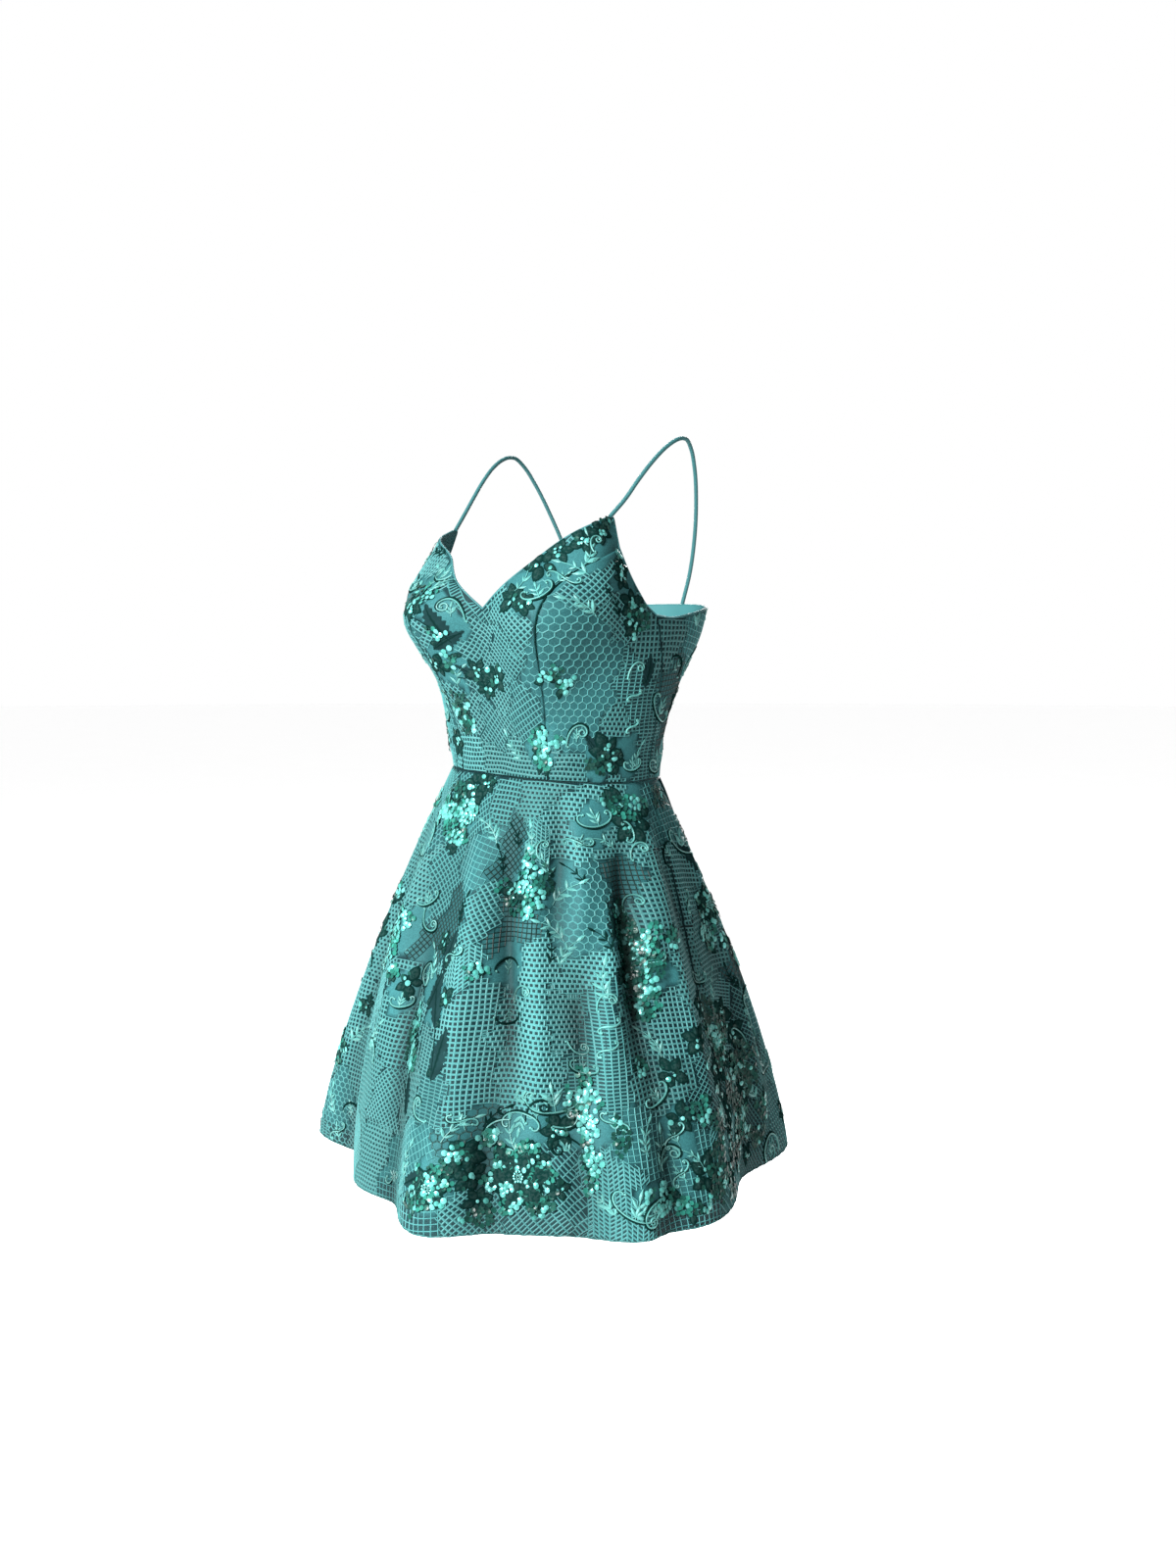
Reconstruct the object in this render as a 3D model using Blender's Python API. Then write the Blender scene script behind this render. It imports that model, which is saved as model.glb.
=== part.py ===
"""Cocktail dress: V-neck bodice with princess seams, flared skirt over a shorter lining, two spaghetti
straps and a concealed centre back zip.

Metres, +Z up. The wearer faces -Y and their left is +X. The origin lies midway between the tops of the
straps, where the shoulders hold the dress. Shapes are worked out around the body's axis: a turn is an
angle in degrees from the centre front towards the wearer's left, and a height is measured from the
waist seam.
"""

import math
from collections import namedtuple

import bmesh
import bpy
import numpy as np
from mathutils import Matrix, Vector

MM = 0.001

# Driving sizes
WAIST_DROP = 345 * MM  # underside of the straps' tops down to the waist seam
AXIS_FORWARD = 68.5 * MM  # the body's axis stands this far in front of the straps' tops
SKIRT_DROP = 418 * MM  # waist seam down to the hem
SKIRT_SLANT = 441 * MM  # the same along the cloth
HEM_RADIUS = 248 * MM  # of the skirt at the hem, before its folds
FLARE_ROUNDING = 1.28  # over 1, the skirt swells out below the waist and hangs steeper at the hem
LINING_SHORTER = 21 * MM  # the lining's hem is this far above the lace's
BODICE_WALL = 2.2 * MM  # lace and lining sewn as one
LACE_WALL = 1.1 * MM
LINING_WALL = 1.1 * MM
SEAM_GAP = 0.3 * MM
BODY_RADIUS = 120 * MM  # about the mean, to weigh turns against heights along an edge
STRAP_DIAMETER = 4.6 * MM

# Faces
BODICE_ROWS = 13
BODICE_ROW_CROWDING = 1.3  # over 1, the rows stand closer towards the neck
FRONT_CENTRE_COLUMNS = 24
SIDE_FRONT_COLUMNS = 12
BACK_COLUMNS = 14
LINING_ROWS = 8
FALL_STEP = 0.002  # share of the skirt's drop over which a slope is measured
SKIRT_FRONT_COLUMNS = 60
SKIRT_BACK_COLUMNS = 26
STRAP_POINTS = 31

# Seams, as turns in degrees
PRINCESS_TURN = 34.0
SIDE_TURN = 95.0
SIDE_TURN_AT_HEM = 85.0
BACK_TURN = 180.0

# Radii of the bodice in mm, at each turn of SECTION_TURNS
SECTION_TURNS = (0, 32, 55, 72, 90, 126, 180)
Section = namedtuple("Section", "height front bust cup_side armhole side back_side back")
SECTIONS = (
    Section(-40, 88, 99, 107, 111, 114, 112, 100),
    Section(0, 88, 99, 107, 112, 115, 112, 100),
    Section(35, 92, 104, 112, 116, 119, 115, 103),
    Section(70, 97, 114, 118, 122, 126, 123, 112),
    Section(105, 103, 131, 125, 129, 134, 137, 128),
    Section(130, 109, 147, 138, 134, 138, 150, 140),
    Section(152, 115, 158, 148, 137, 141, 158, 148),
    Section(175, 118, 155, 153, 138, 140, 163, 152),
    Section(190, 115, 142, 152, 134, 133, 166, 155),
    Section(210, 110, 122, 143, 127, 121, 168, 157),
    Section(230, 106, 108, 130, 119, 113, 168, 157),
    Section(262, 104, 104, 113, 108, 106, 165, 155),
)

# Seams and edges of the bodice: turn in degrees, height in mm
EdgePoint = namedtuple("EdgePoint", "turn height")
PRINCESS_SEAM = (
    EdgePoint(PRINCESS_TURN, 0),
    EdgePoint(33.0, 39),
    EdgePoint(32.4, 78),
    EdgePoint(31.0, 112),
    EdgePoint(30.5, 140),
    EdgePoint(31.5, 161),
    EdgePoint(35.2, 181),
    EdgePoint(41.6, 196),
    EdgePoint(50.0, 209),
    EdgePoint(60.0, 219),
    EdgePoint(70.2, 228),
)
SIDE_SEAM = (
    EdgePoint(SIDE_TURN, 0),
    EdgePoint(94.3, 51),
    EdgePoint(92.0, 101),
    EdgePoint(85.0, 163),
)
NECKLINE = (
    EdgePoint(0.0, 169.5),
    EdgePoint(11.6, 189.6),
    EdgePoint(22.0, 207),
    EdgePoint(38.0, 231),
    EdgePoint(48.0, 243),
    EdgePoint(66.4, 258.5),
)
STRAP_SEAT = (EdgePoint(66.4, 258.5), EdgePoint(70.6, 258.5))
ARMHOLE_OVER_SEAM = (EdgePoint(70.6, 258.5), EdgePoint(70.4, 243), EdgePoint(70.2, 228))
ARMHOLE = (
    EdgePoint(70.2, 228),
    EdgePoint(72.4, 209),
    EdgePoint(76.6, 186),
    EdgePoint(79.6, 173),
    EdgePoint(85.0, 163),
)
BACK_EDGE = (
    EdgePoint(85.0, 163),
    EdgePoint(94.0, 161),
    EdgePoint(106.0, 165),
    EdgePoint(126.0, 173),
    EdgePoint(150.0, 178),
    EdgePoint(BACK_TURN, 180),
)
NECK_SHARE = 10 / 12  # of each half of the front panel's columns that end on the neckline
SEAT_SHARE = 1 / 12  # of them that end on the strap's seat

# Ridges and valleys of the skirt: turns in degrees, reach beyond the plain flare in mm
Fold = namedtuple("Fold", "turn_at_waist turn_at_hem reach_at_middle reach_at_hem")
FOLD_MIDDLE = 0.42  # of the way down
FOLDS_FROM = -88.0  # turn between the last fold and the first, at the waist and at the hem
FOLDS = (
    Fold(-64, -73, 14, 36),
    Fold(-46, -50, -12, -38),
    Fold(-30, -24, -2, -21),
    Fold(-16, -10, -8, -26),
    Fold(4, 10, 8, 27),
    Fold(21, 25, -6, -2),
    Fold(30, 33, -1, -2),
    Fold(38, 39, -4, 0),
    Fold(54, 55, 4, 28),
    Fold(66, 62, -5, 16),
    Fold(76, 68, 3, 18),
    Fold(103, 103, -10, -34),
    Fold(130, 138, 8, 15),
    Fold(154, 158, -6, -26),
    Fold(176, 180, 6, 10),
    Fold(199, 203, -7, -28),
    Fold(222, 226, 7, 20),
    Fold(252, 256, -7, -24),
)

# Sideways lean of the pose: metres up for each metre towards the wearer's left
Lean = namedtuple("Lean", "height slope")
LEANS = (
    Lean(-418, 0.0),
    Lean(-200, -0.02),
    Lean(0, -0.055),
    Lean(80, -0.03),
    Lean(160, 0.0),
    Lean(260, 0.02),
    Lean(350, 0.012),
)

# Route of the wearer's left strap in mm from the body's axis: left, back, height above the waist seam
StrapPoint = namedtuple("StrapPoint", "left back height")
STRAP_ROUTE = (
    StrapPoint(101.6, -40.0, 258.9),
    StrapPoint(106, -20, 277.5),
    StrapPoint(108.5, -1, 297.5),
    StrapPoint(111.5, 20, 318),
    StrapPoint(114, 40, 334),
    StrapPoint(115.3, 57, 343.5),
    StrapPoint(115.5, 68.5, 347.3),
    StrapPoint(115, 80, 347.5),
    StrapPoint(112.5, 93, 339),
    StrapPoint(108, 107, 321),
    StrapPoint(99, 125, 286),
    StrapPoint(89, 138, 249),
    StrapPoint(79, 144.5, 212),
    StrapPoint(70.75, 142.5, 179.25),
)

# Zip slider and its pull tab
SLIDER_TOP = 174 * MM  # height of the slider's upper end
SLIDER_SIZE = Vector((7.0, 2.0, 10.0)) * MM  # across, out from the back, along the zip
LUG_SIZE = Vector((1.0, 3.4, 3.6)) * MM
LUG_SPACING = 5.2 * MM
PIN_RADIUS = 0.7 * MM
PIN_STAND_OFF = 2.0 * MM  # pin's axis out from the slider's face
PIN_BELOW_TOP = 4.0 * MM
PULL_WIDTH = 3.4 * MM
PULL_LENGTH = 23.0 * MM
PULL_THICKNESS = 1.3 * MM
PULL_EYE_RADIUS = 1.75 * MM
PULL_HOLE_RADIUS = 1.05 * MM
ROUND_SIDES = 16

LACE_GREEN = (0.052, 0.235, 0.23)
LINING_GREEN = (0.055, 0.28, 0.29)
STRAP_GREEN = (0.06, 0.26, 0.26)
ZIP_GREEN = (0.03, 0.15, 0.15)
SHARP_ANGLE = math.radians(50)


def clear_scene():
    for thing in list(bpy.data.objects):
        bpy.data.objects.remove(thing, do_unlink=True)


def smooth(knots, values, at):
    """Cubic curve through a table; values has one entry, or one row of entries for each place, per knot."""
    knots = np.asarray(knots, float)
    values = np.asarray(values, float)
    at = np.clip(at, knots[0], knots[-1])
    slopes = np.gradient(values, knots, axis=0)
    low = np.clip(np.searchsorted(knots, at, side="right") - 1, 0, len(knots) - 2)
    pick = (low,) if values.ndim == 1 else (low, np.arange(len(at)))
    pick_next = (low + 1,) + pick[1:]
    span = knots[low + 1] - knots[low]
    t = (at - knots[low]) / span
    start = (1 + 2 * t) * (1 - t) ** 2 * values[pick] + t * (1 - t) ** 2 * span * slopes[pick]
    end = t**2 * (3 - 2 * t) * values[pick_next] + t**2 * (t - 1) * span * slopes[pick_next]
    return start + end


def bodice_radius(turn, height):
    heights = [row.height * MM for row in SECTIONS]
    at_height = [smooth(heights, [row[1 + i] * MM for row in SECTIONS], height) for i in range(len(SECTION_TURNS))]
    turns = [-SECTION_TURNS[2], -SECTION_TURNS[1], *SECTION_TURNS, 2 * BACK_TURN - SECTION_TURNS[-2]]
    across = [at_height[2], at_height[1], *at_height, at_height[-2]]
    return smooth(turns, np.stack(across), np.abs(turn))


def lean(left, height):
    slope = smooth([row.height * MM for row in LEANS], [row.slope for row in LEANS], height)
    return slope * left


def place(turn, radius, height):
    """Points in the part's frame at a turn, a distance from the body's axis and a height over the waist."""
    angle = np.radians(turn)
    left = radius * np.sin(angle)
    back = -radius * np.cos(angle)
    return np.stack([left, back - AXIS_FORWARD, height + lean(left, height) - WAIST_DROP], axis=-1)


def bodice_surface(turn, height):
    return place(turn, bodice_radius(turn, height), height)


def fold_reach(turn, fall):
    """How far the folds push the skirt out, at a turn and a share of the way down to the hem."""
    def moved(row, by):
        return row._replace(turn_at_waist=row.turn_at_waist + by, turn_at_hem=row.turn_at_hem + by)

    rows = [moved(FOLDS[-1], -360), *FOLDS, moved(FOLDS[0], 360)]
    turns = [row.turn_at_waist + (row.turn_at_hem - row.turn_at_waist) * fall for row in rows]
    reaches = [smooth([0, FOLD_MIDDLE, 1], [0, row.reach_at_middle * MM, row.reach_at_hem * MM], fall)
               for row in rows]
    turn = (turn - FOLDS_FROM) % 360 + FOLDS_FROM
    total = np.zeros_like(fall)
    for i in range(len(rows) - 1):
        t = (turn - turns[i]) / (turns[i + 1] - turns[i])
        blend = t * t * (3 - 2 * t)
        total = np.where((t >= 0) & (t < 1), reaches[i] + (reaches[i + 1] - reaches[i]) * blend, total)
    return total


def skirt_surface(turn, fall):
    waist = bodice_radius((turn + 180) % 360 - 180, np.zeros_like(fall))
    flare = 1 - np.maximum(1 - fall, 0) ** FLARE_ROUNDING
    radius = waist + (HEM_RADIUS - waist) * flare + fold_reach(turn, fall)
    return place(turn, radius, -SKIRT_DROP * fall)


def normals(surface, turn, along, along_step):
    """Outward normals of a surface given by a turn and a second value, which grows in along_step's direction."""
    turn_step = 0.05
    across = surface(turn + turn_step, along) - surface(turn - turn_step, along)
    up = surface(turn, along + along_step) - surface(turn, along - along_step)
    out = np.cross(across, up)
    return out / np.linalg.norm(out, axis=-1, keepdims=True)


def edge_curve(*tables):
    """Join tables of edge points into a function of a share of the way along, by length on the cloth."""
    rows = [row for i, table in enumerate(tables) for row in (table if i == 0 else table[1:])]
    turns = np.array([row.turn for row in rows], float)
    heights = np.array([row.height for row in rows], float) * MM
    steps = np.hypot(np.diff(np.radians(turns)) * BODY_RADIUS, np.diff(heights))
    along = np.concatenate([[0], np.cumsum(steps)])
    along /= along[-1]
    return lambda share: np.stack([smooth(along, turns, share), smooth(along, heights, share)], axis=-1)


def line_between(start, end):
    start, end = np.array(start, float), np.array(end, float)
    return lambda share: start + (end - start) * np.asarray(share)[..., None]


def patch(bottom, top, left, right, hold=0.0):
    """Blend four edge curves into turns and heights at any u, across, and v, up.

    With hold, columns near the sides keep to the sides' run for longer before they turn to the top edge."""
    def at(u, v):
        u, v = u[..., None], v[..., None]
        ends = np.zeros(1), np.ones(1)
        ruled = (1 - u) * left(v[..., 0]) + u * right(v[..., 0])
        low, high = ((1 - u) * edge(ends[0]) + u * edge(ends[1]) for edge in (bottom, top))
        late = v ** (1 + hold * np.abs(2 * u - 1) ** 4)
        return ruled + (1 - v) * (bottom(u[..., 0]) - low) + late * (top(u[..., 0]) - high)
    return at


def mirrored(curve):
    return lambda share: curve(share) * np.array([-1.0, 1.0])


def backwards(curve):
    return lambda share: curve(1 - np.asarray(share))


def new_object(name, mesh_builder, colour, roughness):
    bm = bmesh.new()
    mesh_builder(bm)
    bmesh.ops.recalc_face_normals(bm, faces=bm.faces)
    mesh = bpy.data.meshes.new(name)
    bm.to_mesh(mesh)
    bm.free()
    material = bpy.data.materials.new(name)
    material.use_nodes = True
    shader = material.node_tree.nodes["Principled BSDF"]
    shader.inputs["Base Color"].default_value = (*colour, 1)
    shader.inputs["Roughness"].default_value = roughness
    mesh.materials.append(material)
    thing = bpy.data.objects.new(name, mesh)
    bpy.context.collection.objects.link(thing)
    return thing


def cloth_wall(columns, rows, lay):
    """A mesh builder for a panel; lay gives the outer and inner points at each u, across, and v, up."""
    def build(bm):
        bmesh.ops.create_grid(bm, x_segments=columns, y_segments=rows, size=0.5)
        outer = list(bm.verts)
        flat = np.array([vert.co for vert in outer])
        outer_points, inner_points = lay(flat[:, 0] + 0.5, flat[:, 1] + 0.5)
        faces = list(bm.faces)
        for vert, point in zip(outer, outer_points):
            vert.co = point
        copied = bmesh.ops.duplicate(bm, geom=outer + list(bm.edges) + faces)
        inner_of = copied["vert_map"]
        for vert, point in zip(outer, inner_points):
            inner_of[vert].co = point
        rims = [edge for edge in bm.edges if edge.is_boundary]
        bmesh.ops.bridge_loops(bm, edges=rims)
    return build


def panel(name, columns, rows, lay, colour, roughness):
    thing = new_object(name, cloth_wall(columns, rows, lay), colour, roughness)
    thing.data.shade_smooth()
    thing.data.set_sharp_from_angle(angle=SHARP_ANGLE)
    return thing


def lay_on(surface, shape, second_step, under, wall):
    """Outer and inner points of a panel on a surface; shape gives its turns and second values at u, v.

    Both faces are drawn back by half the gap between pieces at u = 0 and u = 1, square to the seam."""
    def lay(u, v):
        turn, second = shape(u, v)
        out = normals(surface, turn, second, second_step)
        above = surface(*shape(u, np.minimum(v + 0.01, 1)))
        below = surface(*shape(u, np.maximum(v - 0.01, 0)))
        across = np.cross(above - below, out)
        across /= np.linalg.norm(across, axis=-1, keepdims=True)
        points = surface(turn, second) + SEAM_GAP / 2 * (1 - 2 * u)[:, None] * across
        return points - under * out, points - (under + wall) * out
    return lay


def bodice_panel(name, columns, edges, hold=0.0):
    blend = patch(*edges, hold)

    def shape(u, v):
        v = 1 - (1 - v) ** BODICE_ROW_CROWDING
        turn, height = np.moveaxis(blend(u, v), -1, 0)
        return turn, height + SEAM_GAP / 2 * (1 - v)
    lay = lay_on(bodice_surface, shape, MM, 0.0, BODICE_WALL)
    return panel(name, columns, BODICE_ROWS, lay, LACE_GREEN, 0.5)


def make_bodice():
    princess = edge_curve(PRINCESS_SEAM)
    side = edge_curve(SIDE_SEAM)
    neckline = edge_curve(NECKLINE)
    seat = edge_curve(STRAP_SEAT)
    over_seam = edge_curve(ARMHOLE_OVER_SEAM)

    def top_half(share):
        on_neck = neckline(np.clip(share / NECK_SHARE, 0, 1))
        on_seat = seat(np.clip((share - NECK_SHARE) / SEAT_SHARE, 0, 1))
        rest = 1 - NECK_SHARE - SEAT_SHARE
        on_armhole = over_seam(np.clip((share - NECK_SHARE - SEAT_SHARE) / rest, 0, 1))
        share = np.asarray(share)[..., None]
        return np.where(share <= NECK_SHARE, on_neck, np.where(share <= NECK_SHARE + SEAT_SHARE, on_seat, on_armhole))

    def top(share):
        across = np.asarray(share) * 2 - 1
        sign = np.stack([np.where(across < 0, -1.0, 1.0), np.ones_like(across)], axis=-1)
        return top_half(np.abs(across)) * sign

    waist = line_between((-PRINCESS_TURN, 0), (PRINCESS_TURN, 0))
    centre_edges = (waist, top, mirrored(princess), princess)
    bodice_panel("bodice_front_centre", FRONT_CENTRE_COLUMNS, centre_edges, hold=1.5)

    side_waist = line_between((PRINCESS_TURN, 0), (SIDE_TURN, 0))
    side_edges = (side_waist, edge_curve(ARMHOLE), princess, side)
    back_waist = line_between((SIDE_TURN, 0), (BACK_TURN, 0))
    centre_back = line_between((BACK_TURN, 0), (BACK_TURN, BACK_EDGE[-1].height * MM))
    back_edges = (back_waist, edge_curve(BACK_EDGE), side, centre_back)
    for name, columns, edges in (("bodice_side_front", SIDE_FRONT_COLUMNS, side_edges),
                                 ("bodice_back", BACK_COLUMNS, back_edges)):
        bodice_panel(name + "_left", columns, edges)
        bottom, upper, near, far = (mirrored(edge) for edge in edges)
        bodice_panel(name + "_right", columns, (backwards(bottom), backwards(upper), far, near))


def skirt_panel(name, columns, turns_at_waist, turns_at_hem, lining):
    """One panel; the lace has the lining's rows and one more, from the lining's hem to its own."""
    rows = LINING_ROWS if lining else LINING_ROWS + 1
    lining_share = 1 - LINING_SHORTER / SKIRT_SLANT
    row_falls = [*np.linspace(SEAM_GAP / 2 / SKIRT_SLANT, lining_share, LINING_ROWS + 1), 1.0][:rows + 1]

    def shape(u, v):
        fall = np.interp((1 - v) * rows, range(rows + 1), row_falls)
        start, end = (at_waist + (at_hem - at_waist) * fall
                      for at_waist, at_hem in zip(turns_at_waist, turns_at_hem))
        return start + (end - start) * u, fall
    under, wall = (LACE_WALL + SEAM_GAP, LINING_WALL) if lining else (0.0, LACE_WALL)
    lay = lay_on(skirt_surface, shape, -FALL_STEP, under, wall)
    return panel(name, columns, rows, lay, LINING_GREEN if lining else LACE_GREEN, 0.35 if lining else 0.5)


def make_skirt():
    side, side_hem = SIDE_TURN, SIDE_TURN_AT_HEM
    for layer, lining in (("skirt", False), ("lining", True)):
        skirt_panel(layer + "_front", SKIRT_FRONT_COLUMNS, (-side, side), (-side_hem, side_hem), lining)
        skirt_panel(layer + "_back_left", SKIRT_BACK_COLUMNS, (side, 180), (side_hem, 180), lining)
        skirt_panel(layer + "_back_right", SKIRT_BACK_COLUMNS, (180, 360 - side), (180, 360 - side_hem), lining)


def strap_points(sign):
    """Points along a strap in the part's frame, evenly spaced; sign is 1 on the wearer's left."""
    route = np.array(STRAP_ROUTE) * MM
    steps = np.linalg.norm(np.diff(route, axis=0), axis=1)
    along = np.concatenate([[0], np.cumsum(steps)])
    share = np.linspace(0, along[-1], STRAP_POINTS)
    left, back, height = (smooth(along, route[:, i], share) for i in range(3))
    left = left * sign
    return np.stack([left, back - AXIS_FORWARD, height + lean(left, height) - WAIST_DROP], axis=-1)


def cut_level(mesh, end, along):
    """Slide one end's ring of vertices along the strap until the end is level."""
    for vert in mesh.vertices:
        if abs((vert.co - end).dot(along)) < 0.01 * MM and (vert.co - end).length < STRAP_DIAMETER:
            vert.co += along * ((end.z - vert.co.z) / along.z)


def make_strap(name, sign):
    """A tube from the seat on the front panel to the back panel's edge, its ends cut level over them."""
    points = [Vector(point) for point in strap_points(sign)]
    curve = bpy.data.curves.new(name, "CURVE")
    curve.dimensions = "3D"
    curve.bevel_depth = STRAP_DIAMETER / 2
    curve.bevel_resolution = 2
    curve.use_fill_caps = True
    spline = curve.splines.new("POLY")
    spline.points.add(len(points) - 1)
    for point, co in zip(spline.points, points):
        point.co = (*co, 1)
    path = bpy.data.objects.new("strap_path", curve)
    bpy.context.collection.objects.link(path)
    tube = bpy.data.meshes.new_from_object(path.evaluated_get(bpy.context.evaluated_depsgraph_get()))
    bpy.data.objects.remove(path, do_unlink=True)
    cut_level(tube, points[0], (points[1] - points[0]).normalized())
    cut_level(tube, points[-1], (points[-1] - points[-2]).normalized())
    strap = new_object(name, lambda bm: bm.from_mesh(tube), STRAP_GREEN, 0.4)
    strap.data.shade_smooth()
    strap.data.set_sharp_from_angle(angle=SHARP_ANGLE)


def centre_back_point(height):
    return Vector(bodice_surface(np.array([BACK_TURN]), np.array([height]))[0])


def slider_matrix():
    """Frame on the back at the slider's top: X across, Y out from the cloth, Z up along the zip."""
    top = centre_back_point(SLIDER_TOP)
    low = centre_back_point(SLIDER_TOP - SLIDER_SIZE.z)
    up = (top - low).normalized()
    out = Vector((1, 0, 0)).cross(up) * -1
    if out.y < 0:
        out.negate()
    matrix = Matrix((Vector((1, 0, 0)), out, up)).transposed().to_4x4()
    matrix.translation = top + out * SEAM_GAP
    return matrix


def add_box(bm, centre, size):
    made = bmesh.ops.create_cube(bm, size=1)
    bmesh.ops.scale(bm, vec=size, verts=made["verts"])
    bmesh.ops.translate(bm, vec=centre, verts=made["verts"])


def union(target, tools):
    """Join the tools into the target and remove them."""
    for tool in tools:
        modifier = target.modifiers.new("join", "BOOLEAN")
        modifier.operation = "UNION"
        modifier.object = tool
    bpy.context.view_layer.update()
    whole = bpy.data.meshes.new_from_object(target.evaluated_get(bpy.context.evaluated_depsgraph_get()))
    target.modifiers.clear()
    target.data = whole
    for tool in tools:
        bpy.data.objects.remove(tool, do_unlink=True)


def make_slider():
    size = SLIDER_SIZE
    pin_z = -PIN_BELOW_TOP

    def body(bm):
        add_box(bm, (0, size.y / 2, -size.z / 2), size)
        bmesh.ops.bevel(bm, geom=list(bm.edges), offset=0.5 * MM, segments=2, profile=0.5,
                        affect="EDGES", material=-1)

    def lug(sign):
        return lambda bm: add_box(bm, (sign * LUG_SPACING / 2, size.y - MM + LUG_SIZE.y / 2, pin_z), LUG_SIZE)

    def pin(bm):
        bmesh.ops.create_cone(bm, cap_ends=True, segments=ROUND_SIDES, radius1=PIN_RADIUS,
                              radius2=PIN_RADIUS, depth=LUG_SPACING)
        turned = Matrix.Translation((0, size.y + PIN_STAND_OFF, pin_z)) @ Matrix.Rotation(math.pi / 2, 4, "Y")
        bmesh.ops.transform(bm, matrix=turned, verts=bm.verts)

    slider = new_object("zip_slider", body, ZIP_GREEN, 0.35)
    parts = [new_object(name, builder, ZIP_GREEN, 0.35)
             for name, builder in (("lug_left", lug(-1)), ("lug_right", lug(1)), ("pin", pin))]
    union(slider, parts)
    slider.data.transform(slider_matrix())


def pull_axis_point():
    return slider_matrix() @ Vector((0, SLIDER_SIZE.y + PIN_STAND_OFF, -PIN_BELOW_TOP))


def make_pull():
    """The pull tab hangs straight down from the slider's pin; its origin is on the pin's axis."""
    def build(bm):
        half = PULL_THICKNESS / 2
        leave = math.asin(half / PULL_EYE_RADIUS)
        sweep = np.linspace(leave - math.pi / 2, 1.5 * math.pi - leave, ROUND_SIDES + 1)
        outline = [(PULL_EYE_RADIUS * math.cos(a), PULL_EYE_RADIUS * math.sin(a)) for a in sweep]
        outline += [(-half, -PULL_LENGTH), (half, -PULL_LENGTH)]
        hole = [(PULL_HOLE_RADIUS * math.cos(a), PULL_HOLE_RADIUS * math.sin(a))
                for a in np.arange(ROUND_SIDES) * 2 * math.pi / ROUND_SIDES]
        edges = []
        for ring in (outline, hole):
            verts = [bm.verts.new((-PULL_WIDTH / 2, y, z)) for y, z in ring]
            edges += [bm.edges.new((verts[i - 1], verts[i])) for i in range(len(verts))]
        bmesh.ops.triangle_fill(bm, edges=edges, use_beauty=True)
        side = list(bm.faces)
        out = bmesh.ops.extrude_face_region(bm, geom=side, use_keep_orig=True)
        moved = [item for item in out["geom"] if isinstance(item, bmesh.types.BMVert)]
        bmesh.ops.translate(bm, vec=(PULL_WIDTH, 0, 0), verts=moved)

    pull = new_object("zip_pull", build, ZIP_GREEN, 0.3)
    pull.location = pull_axis_point()
    return pull


def main():
    clear_scene()
    make_bodice()
    make_skirt()
    make_strap("strap_left", 1)
    make_strap("strap_right", -1)
    make_slider()
    make_pull()


main()
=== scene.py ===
"""Looks of the cocktail dress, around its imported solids: cloth, net, cords, leaves, flowers, sequins and zip.

Metres, +Z up; the wearer faces -Y and their left is +X. A place on the cloth is a turn, in degrees from the
centre front towards the wearer's left, and a run, in mm down the cloth from the waist seam, below 0 on the
bodice. Patterns are laid out on the flat cloth in mm, x towards the wearer's left and y up, and then put on.
"""

from collections import namedtuple
from functools import cache
from math import atan2, cos, degrees, pi, radians, sin, sqrt

import bmesh
import bpy
import numpy as np
from bpy.props import FloatProperty, FloatVectorProperty, PointerProperty
from mathutils import Matrix, Vector


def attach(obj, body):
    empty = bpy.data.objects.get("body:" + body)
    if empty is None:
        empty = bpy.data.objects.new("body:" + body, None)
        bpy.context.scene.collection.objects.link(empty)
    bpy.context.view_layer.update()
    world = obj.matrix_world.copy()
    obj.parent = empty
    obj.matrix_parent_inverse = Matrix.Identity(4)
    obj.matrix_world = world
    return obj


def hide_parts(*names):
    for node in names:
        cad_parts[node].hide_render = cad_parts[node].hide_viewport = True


bl_info = {
    "name": "Cocktail dress",
    "version": (1, 0, 0),
    "blender": (4, 5, 0),
    "location": "3D View > Sidebar > Dress",
    "description": "Cloth, net, cords, leaves, flowers, sequins and zip of a cocktail dress",
    "category": "Object",
}

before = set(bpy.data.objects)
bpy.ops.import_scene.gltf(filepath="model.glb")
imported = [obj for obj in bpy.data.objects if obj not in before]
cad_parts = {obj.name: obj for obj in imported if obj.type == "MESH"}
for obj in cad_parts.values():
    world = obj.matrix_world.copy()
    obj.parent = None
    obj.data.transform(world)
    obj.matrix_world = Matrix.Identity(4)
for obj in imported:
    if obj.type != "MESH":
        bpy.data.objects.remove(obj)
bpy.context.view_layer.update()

MM = 0.001


def table(kind, *rows):
    return tuple(kind(*row) for row in rows)


# Shape of the dress, as in the part's source
WAIST_DROP = 345 * MM
AXIS_FORWARD = 68.5 * MM
SKIRT_DROP = 418 * MM
SKIRT_SLANT = 441 * MM
HEM_RADIUS = 248 * MM
FLARE_ROUNDING = 1.28
LINING_SHORTER = 21 * MM
HEM_RUN = SKIRT_SLANT / MM
LINING_HEM_RUN = (SKIRT_SLANT - LINING_SHORTER) / MM
BODY_RADIUS = 120 * MM
PRINCESS_TURN = 34.0
SIDE_TURN = 95.0
SIDE_TURN_AT_HEM = 85.0
BACK_TURN = 180.0

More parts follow.
